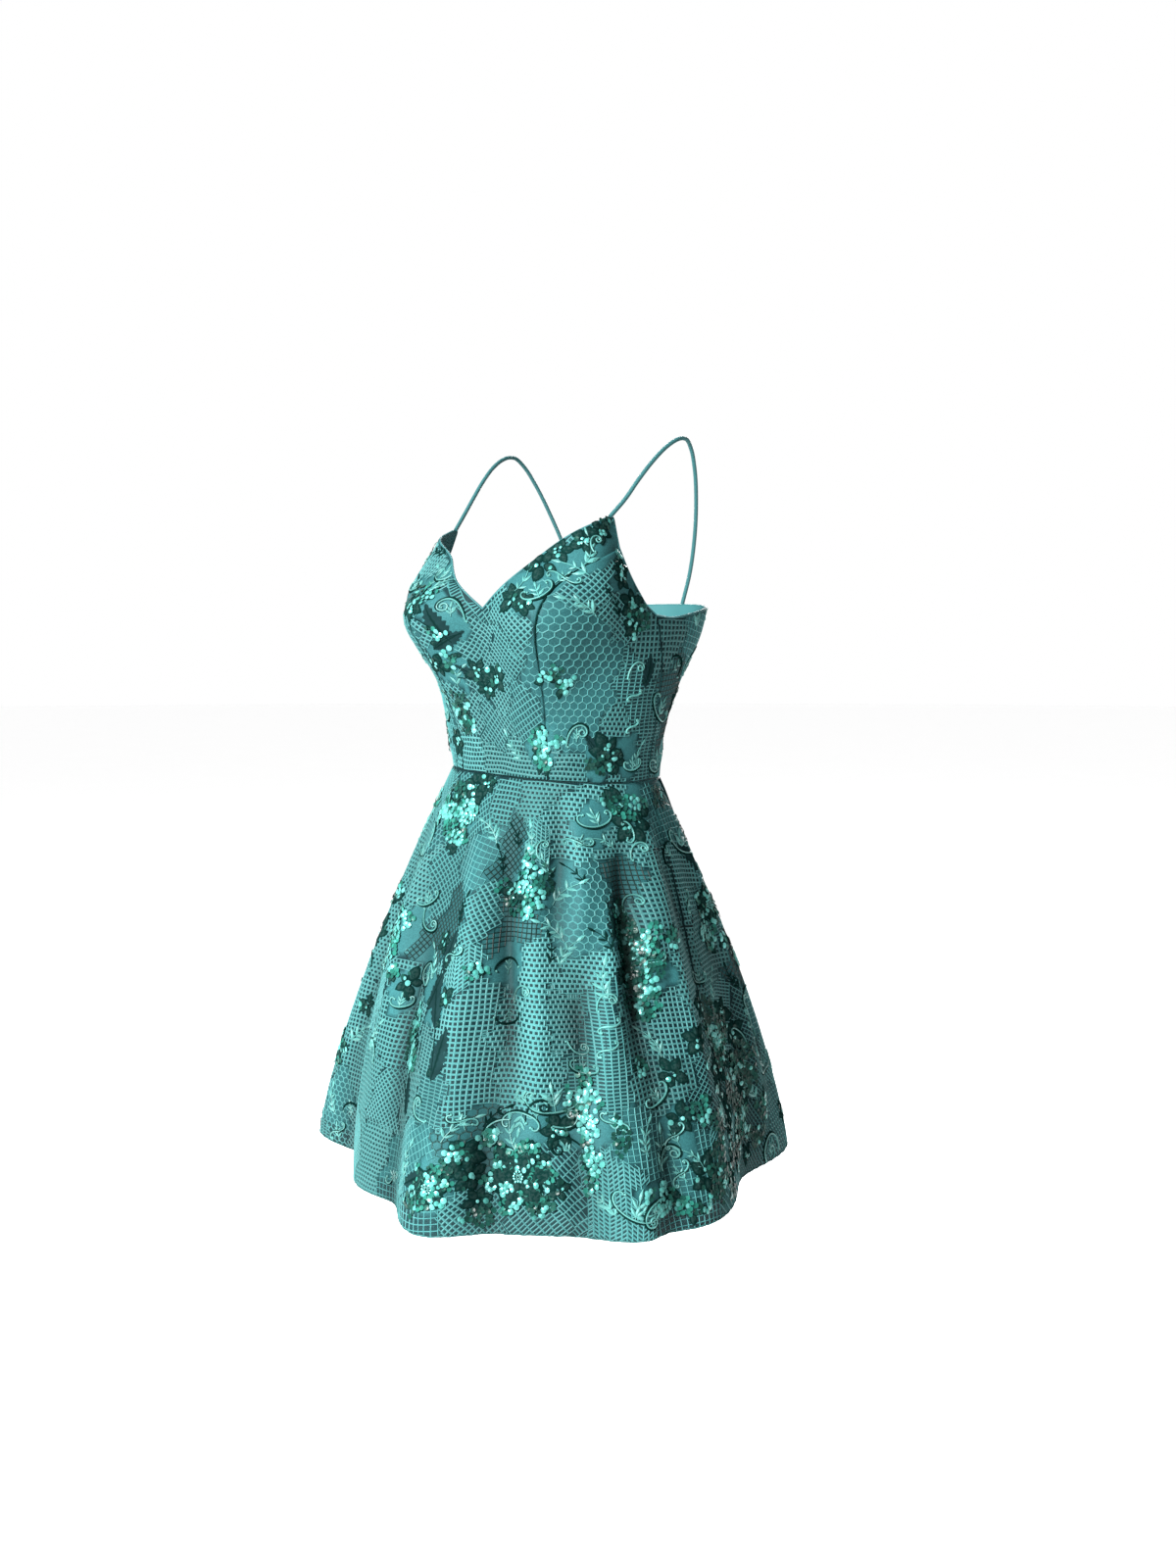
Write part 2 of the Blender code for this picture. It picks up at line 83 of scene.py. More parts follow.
SECTION_TURNS = (0, 32, 55, 72, 90, 126, 180)
Section = namedtuple("Section", "height front bust cup_side armhole side back_side back")
SECTIONS = table(Section,
    (-40, 88, 99, 107, 111, 114, 112, 100),
    (0, 88, 99, 107, 112, 115, 112, 100),
    (35, 92, 104, 112, 116, 119, 115, 103),
    (70, 97, 114, 118, 122, 126, 123, 112),
    (105, 103, 131, 125, 129, 134, 137, 128),
    (130, 109, 147, 138, 134, 138, 150, 140),
    (152, 115, 158, 148, 137, 141, 158, 148),
    (175, 118, 155, 153, 138, 140, 163, 152),
    (190, 115, 142, 152, 134, 133, 166, 155),
    (210, 110, 122, 143, 127, 121, 168, 157),
    (230, 106, 108, 130, 119, 113, 168, 157),
    (262, 104, 104, 113, 108, 106, 165, 155))

EdgePoint = namedtuple("EdgePoint", "turn height")
PRINCESS_SEAM = table(EdgePoint,
    (34.0, 0), (33.0, 39), (32.4, 78), (31.0, 112), (30.5, 140), (31.5, 161), (35.2, 181), (41.6, 196),
    (50.0, 209), (60.0, 219), (70.2, 228))
SIDE_SEAM = table(EdgePoint, (95.0, 0), (94.3, 51), (92.0, 101), (85.0, 163))
NECKLINE = table(EdgePoint,
    (0.0, 169.5), (11.6, 189.6), (22.0, 207), (38.0, 231), (48.0, 243), (66.4, 258.5))
STRAP_SEAT = (EdgePoint(66.4, 258.5), EdgePoint(70.6, 258.5))
ARMHOLE_OVER_SEAM = (EdgePoint(70.6, 258.5), EdgePoint(70.4, 243), EdgePoint(70.2, 228))
ARMHOLE = table(EdgePoint, (70.2, 228), (72.4, 209), (76.6, 186), (79.6, 173), (85.0, 163))
BACK_EDGE = table(EdgePoint,
    (85.0, 163), (94.0, 161), (106.0, 165), (126.0, 173), (150.0, 178), (BACK_TURN, 180))
NECK_SHARE = 10 / 12
SEAT_SHARE = 1 / 12

Fold = namedtuple("Fold", "turn_at_waist turn_at_hem reach_at_middle reach_at_hem")
FOLD_MIDDLE = 0.42
FOLDS_FROM = -88.0
FOLDS = table(Fold,
    (-64, -73, 14, 36), (-46, -50, -12, -38), (-30, -24, -2, -21), (-16, -10, -8, -26), (4, 10, 8, 27),
    (21, 25, -6, -2), (30, 33, -1, -2), (38, 39, -4, 0), (54, 55, 4, 28), (66, 62, -5, 16), (76, 68, 3, 18),
    (103, 103, -10, -34), (130, 138, 8, 15), (154, 158, -6, -26), (176, 180, 6, 10), (199, 203, -7, -28),
    (222, 226, 7, 20), (252, 256, -7, -24))

Lean = namedtuple("Lean", "height slope")
LEANS = table(Lean,
    (-418, 0.0), (-200, -0.02), (0, -0.055), (80, -0.03), (160, 0.0), (260, 0.02), (350, 0.012))

STRAP_ROUTE = ((101.6, -40.0, 258.9), (106, -20, 277.5), (108.5, -1, 297.5), (111.5, 20, 318), (114, 40, 334),
               (115.3, 57, 343.5), (115.5, 68.5, 347.3), (115, 80, 347.5), (112.5, 93, 339), (108, 107, 321),
               (99, 125, 286), (89, 138, 249), (79, 144.5, 212), (70.75, 142.5, 179.25))

# The cloth laid flat: the skirt is a sector about its cone's tip, and the bodice is unrolled
CONE_TIP = 286.0  # mm from the tip to the waist seam
CONE_SHARE = 0.3676  # degrees on the flat cloth for each degree round the dress
BODICE_FLAT_RADIUS = 122.0  # mm

# Small creases: turn and run of both ends, width and depth in mm
Crease = namedtuple("Crease", "turn run turn_to run_to width depth")
SKIRT_CREASES = table(Crease,
    (-98, 0, -95, 441, 13, -5.1), (-84, 0, -88, 441, 14, 4.6), (-57, 4, -60, 430, 13, -4.1),
    (-38, 0, -36, 441, 14, 5.1), (-28, 60, -30, 300, 13, 4.5), (-17, 150, -13, 370, 13, -6.5),
    (-2, 5, 10, 330, 15, 5.5), (8, 250, 6, 441, 12, -4.5), (16, 60, 24, 300, 12, -7),
    (18, 320, 19, 441, 11, -5), (27, 20, 29, 150, 9, 4), (31, 140, 33, 420, 15, 5),
    (38, 10, 39, 170, 11, -6), (40, 330, 39, 441, 12, 4.5), (47, 180, 45, 320, 12, -5.5),
    (49, 30, 44, 190, 13, 5), (57, 100, 49, 380, 13, 5), (66, 330, 63, 441, 11, -4),
    (72, 40, 58, 300, 12, -7), (76, 90, 64, 280, 13, 5), (84, 2, 78, 441, 13, 5.1),
    (92, 0, 88, 400, 12, -4.6), (112, 0, 116, 441, 14, 5.7), (121, 3, 126, 420, 12, -4.6),
    (140, 0, 147, 441, 13, 5.1), (147, 2, 152, 330, 12, -4.1), (163, 0, 168, 441, 13, -5.1),
    (170, 2, 173, 380, 10, 4.1), (-171, 0, -168, 441, 12, -4.9), (-165, 3, -160, 360, 12, 4.3),
    (-150, 0, -146, 441, 14, 5.4), (-143, 2, -141, 420, 12, -4.3), (-128, 0, -124, 441, 13, 5.1),
    (-117, 2, -115, 380, 12, -4.6))
BODICE_CREASES = table(Crease,
    (38, -14, 74, -34, 5, 1.0), (60, -30, 96, -20, 6, -1.0), (72, -62, 100, -44, 7, 1.1),
    (80, -96, 104, -66, 7, -1.0), (98, -120, 74, -112, 6, 0.9), (14, -18, 30, -52, 6, -0.8),
    (-12, -24, -30, -60, 6, 0.8), (20, -92, 32, -118, 7, -0.9), (-20, -92, -32, -116, 7, -0.9),
    (2, -60, 24, -84, 9, 0.8), (-40, -12, -78, -30, 6, 1.0), (-64, -34, -98, -22, 6, -1.0),
    (-74, -70, -102, -50, 7, 1.0), (-98, -118, -76, -108, 6, 0.9), (108, -16, 150, -34, 7, 1.2),
    (112, -40, 156, -58, 8, -1.1), (120, -78, 160, -84, 9, 1.0), (-110, -20, -152, -36, 7, 1.2),
    (-114, -46, -154, -60, 8, -1.1), (-122, -80, -158, -88, 9, 1.0), (104, -104, 132, -128, 8, -0.9),
    (-104, -104, -132, -128, 8, -0.9), (168, -20, 176, -110, 5, 0.8), (-168, -20, -176, -110, 5, 0.8))


# --- surfaces

def smooth(knots, values, at):
    """Cubic curve through a table; values has one entry, or one row of entries for each place, per knot."""
    knots = np.asarray(knots, float)
    values = np.asarray(values, float)
    at = np.clip(at, knots[0], knots[-1])
    slopes = np.gradient(values, knots, axis=0)
    low = np.clip(np.searchsorted(knots, at, side="right") - 1, 0, len(knots) - 2)
    pick = (low,) if values.ndim == 1 else (low, np.arange(len(at)))
    pick_next = (low + 1,) + pick[1:]
    span = knots[low + 1] - knots[low]
    t = (at - knots[low]) / span
    start = (1 + 2 * t) * (1 - t) ** 2 * values[pick] + t * (1 - t) ** 2 * span * slopes[pick]
    end = t**2 * (3 - 2 * t) * values[pick_next] + t**2 * (t - 1) * span * slopes[pick_next]
    return start + end


def bodice_radius(turn, height):
    heights = [row.height * MM for row in SECTIONS]
    at_height = [smooth(heights, [row[1 + i] * MM for row in SECTIONS], height)
                 for i in range(len(SECTION_TURNS))]
    turns = [-SECTION_TURNS[2], -SECTION_TURNS[1], *SECTION_TURNS, 2 * BACK_TURN - SECTION_TURNS[-2]]
    across = [at_height[2], at_height[1], *at_height, at_height[-2]]
    return smooth(turns, np.stack(across), np.abs(turn))


def lean(left, height):
    slope = smooth([row.height * MM for row in LEANS], [row.slope for row in LEANS], height)
    return slope * left


def leaned(left, back, height):
    """Points given from the middle of the waist, in the part's own frame."""
    return np.stack([left, back - AXIS_FORWARD, height + lean(left, height) - WAIST_DROP], axis=-1)


def place(turn, radius, height):
    angle = np.radians(turn)
    return leaned(radius * np.sin(angle), -radius * np.cos(angle), height)


def fold_reach(turn, fall):
    """How far the folds push the skirt out, at a turn and a share of the way down to the hem."""
    def moved(row, by):
        return row._replace(turn_at_waist=row.turn_at_waist + by, turn_at_hem=row.turn_at_hem + by)

    rows = [moved(FOLDS[-1], -360), *FOLDS, moved(FOLDS[0], 360)]
    turns = [row.turn_at_waist + (row.turn_at_hem - row.turn_at_waist) * fall for row in rows]
    reaches = [smooth([0, FOLD_MIDDLE, 1], [0, row.reach_at_middle * MM, row.reach_at_hem * MM], fall)
               for row in rows]
    turn = (turn - FOLDS_FROM) % 360 + FOLDS_FROM
    total = np.zeros_like(fall)
    for i in range(len(rows) - 1):
        t = (turn - turns[i]) / (turns[i + 1] - turns[i])
        blend = t * t * (3 - 2 * t)
        total = np.where((t >= 0) & (t < 1), reaches[i] + (reaches[i + 1] - reaches[i]) * blend, total)
    return total


def crease_reach(x, y, creases, flat):
    """Height of the small creases at points of the flat cloth."""
    total = np.zeros_like(x)
    for row in creases:
        start = np.array(flat(row.turn, row.run))
        along = np.array(flat(row.turn_to, row.run_to)) - start
        length = np.linalg.norm(along)
        along /= length
        share = np.clip(((x - start[0]) * along[0] + (y - start[1]) * along[1]) / length, 0, 1)
        bow = 5 * np.sin(pi * share * 1.6 + row.turn)
        off = (x - start[0]) * along[1] - (y - start[1]) * along[0] + bow
        total += row.depth * 4 * share * (1 - share) * np.exp(-((off / row.width) ** 2))
    return total * MM * scene_look().crease_depth


def skirt_flat(turn, run):
    angle = np.radians(np.asarray(turn, float)) * CONE_SHARE
    return (CONE_TIP + run) * np.sin(angle), -(CONE_TIP + run) * np.cos(angle)


def skirt_unflat(x, y):
    return np.degrees(np.arctan2(x, -y)) / CONE_SHARE, np.hypot(x, y) - CONE_TIP


def bodice_flat(turn, run):
    return np.radians(turn) * BODICE_FLAT_RADIUS, -np.asarray(run, float)


def bodice_unflat(x, y):
    return np.degrees(np.asarray(x, float) / BODICE_FLAT_RADIUS), -np.asarray(y, float)


def bodice_points(turn, run):
    height = -run * MM
    reach = crease_reach(*bodice_flat(turn, run), BODICE_CREASES, bodice_flat)
    return place(turn, bodice_radius(turn, height) + reach, height)


def skirt_points(turn, run):
    fall = run * MM / SKIRT_SLANT
    waist = bodice_radius(turn, np.zeros_like(fall))
    flare = 1 - np.maximum(1 - fall, 0) ** FLARE_ROUNDING
    turn_once = (turn + 180) % 360 - 180
    reach = fold_reach(turn, fall) + crease_reach(*skirt_flat(turn_once, run), SKIRT_CREASES, skirt_flat)
    return place(turn, waist + (HEM_RADIUS - waist) * flare + reach, -SKIRT_DROP * fall)


Region = namedtuple("Region", "flat unflat turns runs points out")
LATTICE_TURN = 190  # degrees to each side of the centre front
TURN_STEP = 0.5
RUN_STEP = 2.0
LATTICE_TOP = -264.0  # runs a little past the bodice's highest point and past the hem
LATTICE_END = 446.0


def unit(vectors):
    return vectors / np.linalg.norm(vectors, axis=-1, keepdims=True)


def region(points_at, flat, unflat, run_from, run_to):
    """A region of the dress, with its points and outward normals worked out once on a fine lattice."""
    turns = np.arange(-LATTICE_TURN, LATTICE_TURN + TURN_STEP / 2, TURN_STEP)
    runs = np.arange(run_from, run_to + RUN_STEP / 2, RUN_STEP)
    turn, run = (grid.ravel() for grid in np.meshgrid(turns, runs, indexing="ij"))
    points = points_at(turn, run).reshape(len(turns), len(runs), 3)
    out = unit(np.cross(np.gradient(points, axis=1), np.gradient(points, axis=0)))
    return Region(flat, unflat, turns, runs, points, out)


@cache
def area_of(skirt):
    """The skirt's region, or else the bodice's."""
    if skirt:
        return region(skirt_points, skirt_flat, skirt_unflat, 0.0, LATTICE_END)
    return region(bodice_points, bodice_flat, bodice_unflat, LATTICE_TOP, 0.0)


def skin(area, turn, run, lift=0.0):
    """Points and outward normals of the dress's outer face, the points lifted by a distance in mm."""
    i = np.clip((np.asarray(turn, float) - area.turns[0]) / TURN_STEP, 0, len(area.turns) - 1.001)
    j = np.clip((np.asarray(run, float) - area.runs[0]) / RUN_STEP, 0, len(area.runs) - 1.001)
    i0, j0 = i.astype(int), j.astype(int)
    di, dj = (i - i0)[..., None], (j - j0)[..., None]

    def mixed(grid):
        near = grid[i0, j0] * (1 - dj) + grid[i0, j0 + 1] * dj
        far = grid[i0 + 1, j0] * (1 - dj) + grid[i0 + 1, j0 + 1] * dj
        return near * (1 - di) + far * di

    out = unit(mixed(area.out))
    return mixed(area.points) + out * (np.asarray(lift, float) * MM)[..., None], out


def on_cloth(area, x, y, lift=0.0):
    return skin(area, *area.unflat(x, y), lift)[0]


# Painted shade and light: how light the skirt's colours are painted where it lies this far inside or outside
# the mean of its surroundings
FOLD_SURROUNDINGS = 9.0  # degrees to each side
FOLD_REACHES = (-8.0, 0.0, 7.0)  # mm
PAINTED_FOLD_SHADE_AND_LIGHT = (0.34, 1.0, 1.25)


@cache
def painted_fold_shade_lattice():
    points = area_of(True).points
    reach = np.hypot(points[..., 0], points[..., 1] + AXIS_FORWARD)
    half = round(FOLD_SURROUNDINGS / TURN_STEP)
    total = np.cumsum(np.pad(reach, ((half + 1, half), (0, 0)), mode="edge"), axis=0)
    mean = (total[2 * half + 1:] - total[:-2 * half - 1]) / (2 * half + 1)
    return np.interp(reach - mean, np.array(FOLD_REACHES) * MM, PAINTED_FOLD_SHADE_AND_LIGHT)


def painted_fold_shade(points):
    """Share of its light that each point's colour keeps: painted shade in the skirt's hollows, painted light on
    its ridges.
    """
    left, back, up = points.T
    height = up + WAIST_DROP
    height = height - lean(left, height)
    turn = np.degrees(np.arctan2(left, -(back + AXIS_FORWARD)))
    run = -height / SKIRT_DROP * SKIRT_SLANT / MM
    lattice = painted_fold_shade_lattice()
    i = np.clip(np.round((turn + LATTICE_TURN) / TURN_STEP).astype(int), 0, lattice.shape[0] - 1)
    j = np.clip(np.round(run / RUN_STEP).astype(int), 0, lattice.shape[1] - 1)
    return np.where(height > 0, 1.0, lattice[i, j])


# --- panels' edges

def edge_curve(rows):
    """An edge's turn and height as a function of a share of the way along, by length on the cloth."""
    turns = np.array([row.turn for row in rows], float)
    heights = np.array([row.height for row in rows], float) * MM
    steps = np.hypot(np.diff(np.radians(turns)) * BODY_RADIUS, np.diff(heights))
    along = np.concatenate([[0], np.cumsum(steps)])
    along /= along[-1]
    return lambda share: np.stack([smooth(along, turns, share), smooth(along, heights, share)], axis=-1)


def line_between(start, end):
    start, end = np.array(start, float), np.array(end, float)
    return lambda share: start + (end - start) * np.asarray(share)[..., None]


def patch(bottom, top, left, right, hold):
    """Blend four edge curves into turns and heights at any u, across, and v, up."""
    def at(u, v):
        u, v = u[..., None], v[..., None]
        ends = np.zeros(1), np.ones(1)
        ruled = (1 - u) * left(v[..., 0]) + u * right(v[..., 0])
        low, high = ((1 - u) * edge(ends[0]) + u * edge(ends[1]) for edge in (bottom, top))
        late = v ** (1 + hold * np.abs(2 * u - 1) ** 4)
        return ruled + (1 - v) * (bottom(u[..., 0]) - low) + late * (top(u[..., 0]) - high)
    return at


def mirrored(curve):
    return lambda share: curve(share) * np.array([-1.0, 1.0])


def backwards(curve):
    return lambda share: curve(1 - np.asarray(share))


def front_top_half(share):
    """Upper edge of the front panel from the centre to the princess seam."""
    neckline, seat, over_seam = edge_curve(NECKLINE), edge_curve(STRAP_SEAT), edge_curve(ARMHOLE_OVER_SEAM)
    on_neck = neckline(np.clip(share / NECK_SHARE, 0, 1))
    on_seat = seat(np.clip((share - NECK_SHARE) / SEAT_SHARE, 0, 1))
    on_armhole = over_seam(np.clip((share - NECK_SHARE - SEAT_SHARE) / (1 - NECK_SHARE - SEAT_SHARE), 0, 1))
    share = np.asarray(share)[..., None]
    beyond_neck = np.where(share <= NECK_SHARE + SEAT_SHARE, on_seat, on_armhole)
    return np.where(share <= NECK_SHARE, on_neck, beyond_neck)


def front_top(share):
    across = np.asarray(share) * 2 - 1
    sign = np.stack([np.where(across < 0, -1.0, 1.0), np.ones_like(across)], axis=-1)
    return front_top_half(np.abs(across)) * sign


def bodice_edges():
    """Bottom, top, left and right edge of each bodice panel, and how long its columns keep the sides' run."""
    princess, side = edge_curve(PRINCESS_SEAM), edge_curve(SIDE_SEAM)
    waist = line_between((-PRINCESS_TURN, 0), (PRINCESS_TURN, 0))
    centre_back = line_between((BACK_TURN, 0), (BACK_TURN, BACK_EDGE[-1].height * MM))
    made = {"bodice_front_centre": ((waist, front_top, mirrored(princess), princess), 1.5)}
    side_edges = (line_between((PRINCESS_TURN, 0), (SIDE_TURN, 0)), edge_curve(ARMHOLE), princess, side)
    back_edges = (line_between((SIDE_TURN, 0), (BACK_TURN, 0)), edge_curve(BACK_EDGE), side, centre_back)
    for name, edges in (("bodice_side_front", side_edges), ("bodice_back", back_edges)):
        bottom, upper, near, far = (mirrored(edge) for edge in edges)
        made[name + "_left"] = (edges, 0.0)
        made[name + "_right"] = ((backwards(bottom), backwards(upper), far, near), 0.0)
    return made


SKIRT_PANELS = {
    "front": ((-SIDE_TURN, SIDE_TURN), (-SIDE_TURN_AT_HEM, SIDE_TURN_AT_HEM)),
    "back_left": ((SIDE_TURN, 180), (SIDE_TURN_AT_HEM, 180)),
    "back_right": ((-180, -SIDE_TURN), (-180, -SIDE_TURN_AT_HEM)),
}


STRAP_SEAT_END = 70.3


def top_height(turn):
    """Height in mm of the bodice's upper edge at a turn."""
    turn = np.abs(turn)
    tables = NECKLINE + (EdgePoint(STRAP_SEAT_END, 258.5),), ARMHOLE, BACK_EDGE
    neck, armhole, back = (smooth([row.turn for row in rows], [float(row.height) for row in rows], turn)
                           for rows in tables)
    return np.where(turn <= STRAP_SEAT_END, neck, np.where(turn <= ARMHOLE[-1].turn, armhole, back))


def turn_of(seam, height):
    return smooth([row.height for row in seam], [row.turn for row in seam], height)


def seam_turns(panel, run):
    """Lowest and highest turn of a panel at each run."""
    if panel in SKIRT_PANELS:
        at_waist, at_hem = SKIRT_PANELS[panel]
        fall = run * MM / SKIRT_SLANT
        return tuple(waist + (hem - waist) * fall for waist, hem in zip(at_waist, at_hem))
    princess, side = turn_of(PRINCESS_SEAM, -run), turn_of(SIDE_SEAM, -run)
    back = 180 + 0 * side
    return {"bodice_front_centre": (-princess, princess), "bodice_side_front_left": (princess, side),
            "bodice_side_front_right": (-side, -princess), "bodice_back_left": (side, back),
            "bodice_back_right": (-back, -side)}[panel]


def run_limits(skirt, turn, from_waist, from_edge):
    """Lowest and highest run of a region at each turn, clear of the waist seam and of its outer edge."""
    low, high = (from_waist, HEM_RUN - from_edge) if skirt else (from_edge - top_height(turn), -from_waist)
    return low + 0 * turn, high + 0 * turn


# --- cloth's patterns

# Weaves of the net: pitch across and down and half the thread's width in mm, its tone from 0, dark, to 1,
# light, and how dark the ground behind it is, as darker tulle and painted shade between the threads.
# Brick staggers the rows, peak makes bricks into scales, rise slants the rows up and down by columns, and
# turn is in degrees.
Weave = namedtuple("Weave", "across down thread tone ground brick peak rise turn", defaults=(0, 0, 0, 0))
WEAVES = {
    "plain": None,
    "square": Weave(5.0, 5.0, 0.95, 0.72, 1.0),
    "bold": Weave(5.2, 5.2, 1.15, 0.5, 1.0),
    "diamond": Weave(4.5, 4.5, 0.85, 0.75, 0.9, turn=45),
    "lozenge": Weave(4.1, 6.0, 0.75, 0.8, 0.8, turn=38),
    "scale": Weave(3.6, 5.6, 0.62, 0.82, 0.42, brick=1, peak=1.0),
    "big_scale": Weave(4.4, 6.8, 0.66, 0.8, 0.3, brick=1, peak=1.3),
    "small_scale": Weave(3.2, 5.0, 0.62, 0.75, 0.65, brick=1, peak=0.85),
    "seed": Weave(2.6, 4.7, 1.15, 0.6, 1.0, brick=1),
    "light_seed": Weave(2.6, 4.9, 1.05, 0.85, 0.95, brick=1),
    "loose": Weave(6.2, 6.2, 0.5, 0.92, 0.35),
    "loose_lozenge": Weave(5.2, 6.8, 0.5, 0.88, 0.35, turn=40),
    "dark_square": Weave(5.0, 5.0, 0.62, 0.0, 0.3),
    "dark_diamond": Weave(5.0, 5.0, 0.62, 0.0, 0.3, turn=45),
    "dark_scale": Weave(4.6, 7.0, 0.8, 0.1, 0.3, brick=1, peak=1.1),
    "ladder": Weave(6.4, 3.6, 0.75, 0.75, 0.85),
    "chevron": Weave(4.2, 3.8, 0.7, 0.75, 0.7, rise=1),
    "herringbone": Weave(4.8, 4.1, 0.8, 0.8, 0.9, rise=1),
    "bars": Weave(9.0, 4.0, 0.8, 0.78, 0.95, turn=42),
    # Net in painted shade: dark ground and dimmer threads on the skirt's side turned away from the light
    "shaded": Weave(4.6, 4.6, 0.55, 0.5, 1.0, turn=45),
    "rungs": Weave(7.5, 3.5, 0.7, 0.62, 0.7),
}
PLAIN_GROUND = 0.0
PLAIN_REACH = 18.0  # mm from its middle that a plain patch goes at most

# Where each weave lies: turn and run of its middle, and how it is turned in degrees
Seed = namedtuple("Seed", "weave turn run turned", defaults=(0,))
SEEDS = tuple(Seed(weave, *row) for weave, rows in {
    "loose": ((3, 74, -10), (8, 428, 8), (-9, 416), (71, 402), (56, 340)),
    "dark_diamond": ((17.8, 72), (-4, 150)),
    "chevron": ((27.8, 66),),
    "lozenge": ((-16.5, 108, 10), (-5, 30), (-44, 250), (0, -57, 6), (20, -54, -8)),
    "big_scale": ((50.2, 112, 4), (44, 150, 4), (54, -118), (60, -88), (50, -150), (36, -138), (48, -56),
        (40, -84)),
    "seed": ((66.5, 64), (-30.6, 111, -4), (-18, 396), (-57, 223), (40, 225), (28, 22), (-30, 330),
        (84, 210), (-3, -14), (16, -14), (45, -18), (66, -50)),
    "diamond": ((8, 152, -8), (20, 425), (-42, 150), (-35, 392), (10, -119, 4), (4, -88, -4), (54, -188),
        (62, -165, 8), (-24, -66), (20, -150, -6), (-8, -140, 6)),
    "dark_square": ((18.5, 158, 4), (62, 96, 3)),
    "square": ((12.5, 232, 3), (12.5, 292, 3), (-64, 269, 5), (-58, 336), (-17, 282, -3), (98, 100, -4),
        (10, 22), (70, 250)),
    "light_seed": ((32.8, 190), (29, 235), (30, 285), (24, 232), (40, 52), (44, 200), (-20, -14)),
    "ladder": ((50.5, 238), (50.5, 295), (86, -52), (76, -84)),
    "small_scale": ((-36, 80),),
    "rungs": ((5, 300), (82, 384, 45)),
    "loose_lozenge": ((0, 371),),
    "dark_scale": ((21, 360),),
    "plain": ((34, 338), (27, 345), (-26, 172), (57, 40), (69, 190), (57, 416), (-19, 45), (-22, 236),
        (-11, 208), (-42, 318), (75, 28), (96, 288), (39, 95), (29, 108), (9, 398), (28, 385), (45, 336),
        (-2, 225), (22, 190), (-30, -192), (-42, -178), (50, -222), (37, -212), (27, -180), (-20, -110),
        (31, -32), (78, -24), (64, -24), (70, -195), (62, -238), (-17, -158)),
    "herringbone": ((49, 382),),
    "bars": ((34.5, 424), (38, 398, 90)),
    "scale": ((-61, 392),),
    "bold": ((61, 235, 2), (64, 300, 4), (78, 120), (104, 190), (84, -140)),
    # Patches on the skirt's side turned away from the light, darkened as painted shade
    "shaded": ((116, 262, 8), (117, 330), (82, 300), (110, 392, -10), (90, 350, 5)),
}.items() for row in rows)
HIDDEN_WEAVES = ("square", "diamond", "lozenge", "scale", "seed", "light_seed", "loose", "dark_square",
                 "bold", "plain", "ladder", "herringbone", "bars", "dark_diamond", "small_scale", "rungs",
                 "plain", "chevron")
SEED_APART = 40.0  # mm; a hidden patch keeps this far from the others


def uneven_grid(chance, skirt, runs, turn_limit, apart, jitter):
    """Turns and runs spread all over a region, in rows at the runs, apart in mm and then moved a little."""
    for run in runs:
        radius = (CONE_TIP + run) * CONE_SHARE if skirt else BODICE_FLAT_RADIUS
        degree = radians(1) * radius
        for turn in np.arange(-turn_limit, turn_limit, apart / degree):
            turn = float(turn + chance.uniform(-9, 9) / degree)
            yield turn, float(run + chance.uniform(-jitter, jitter))


def with_hidden(skirt, placed, others, apart):
    """A region's listed rows, those others that keep apart from all before them, and their spots."""
    rows = [row for row in placed if (row.run >= 0) == skirt]
    spots = [np.array(area_of(skirt).flat(row.turn, row.run)) for row in rows]
    for row in others:
        spot = np.array(area_of(skirt).flat(row.turn, row.run))
        if min(np.linalg.norm(spot - other) for other in spots) > apart:
            rows.append(row)
            spots.append(spot)
    return rows, np.array(spots)


def hidden_seeds(skirt):
    chance = np.random.default_rng(11 if skirt else 12)
    runs = np.arange(24, 440, 62) if skirt else np.arange(-236, -10, 46)
    for turn, run in uneven_grid(chance, skirt, runs, 178, 46, 18):
        weave = HIDDEN_WEAVES[int(chance.integers(len(HIDDEN_WEAVES)))]
        yield Seed(weave, turn, run, float(chance.uniform(-12, 12)))


@cache
def seeds_in(skirt):
    """All patches of a region: those listed, and others in between and on the hidden sides."""
    return with_hidden(skirt, SEEDS, hidden_seeds(skirt), SEED_APART)


HEM_BAND = 26  # mm up from the hem, where no patch is plain
TALL_PATCHES = 0.72  # patches reach further up and down than across
PLAIN_NEARER = 0.8


def owners(skirt, x, y):
    """Which patch each point of the flat cloth belongs to; their borders run in waves."""
    rows, spots = seeds_in(skirt)
    x_moved = x + 5 * np.sin(y / 13) + 3.5 * np.sin(y / 5.1 + 1)
    y_moved = y + 6 * np.sin(x / 17 + 2) + 3 * np.sin(x / 6.3)
    hem = np.hypot(x, y) > CONE_TIP + HEM_RUN - HEM_BAND if skirt else np.zeros(x.shape, bool)
    nearest, best = np.zeros(x.shape, int), np.full(x.shape, np.inf)
    for i, (spot_x, spot_y) in enumerate(spots):
        away = np.hypot(x_moved - spot_x, (y_moved - spot_y) * TALL_PATCHES)
        if WEAVES[rows[i].weave] is None:
            away = np.where((away > PLAIN_REACH) | hem, np.inf, away * PLAIN_NEARER)
        closer = away < best
        nearest[closer], best[closer] = i, away[closer]
    return nearest


# --- meshes and materials

def new_object(name, data, *materials):
    for material in materials:
        data.materials.append(material)
    thing = bpy.data.objects.new(name, data)
    bpy.context.scene.collection.objects.link(thing)
    return thing


def mesh_from(bm, name):
    mesh = bpy.data.meshes.new(name)
    bm.to_mesh(mesh)
    bm.free()
    return mesh


def coordinates(mesh):
    co = np.empty(len(mesh.vertices) * 3, np.float32)
    mesh.vertices.foreach_get("co", co)
    return co.reshape(-1, 3).astype(float)


def set_coordinates(mesh, points):
    mesh.vertices.foreach_set("co", np.ascontiguousarray(points, np.float32).ravel())
    mesh.update()


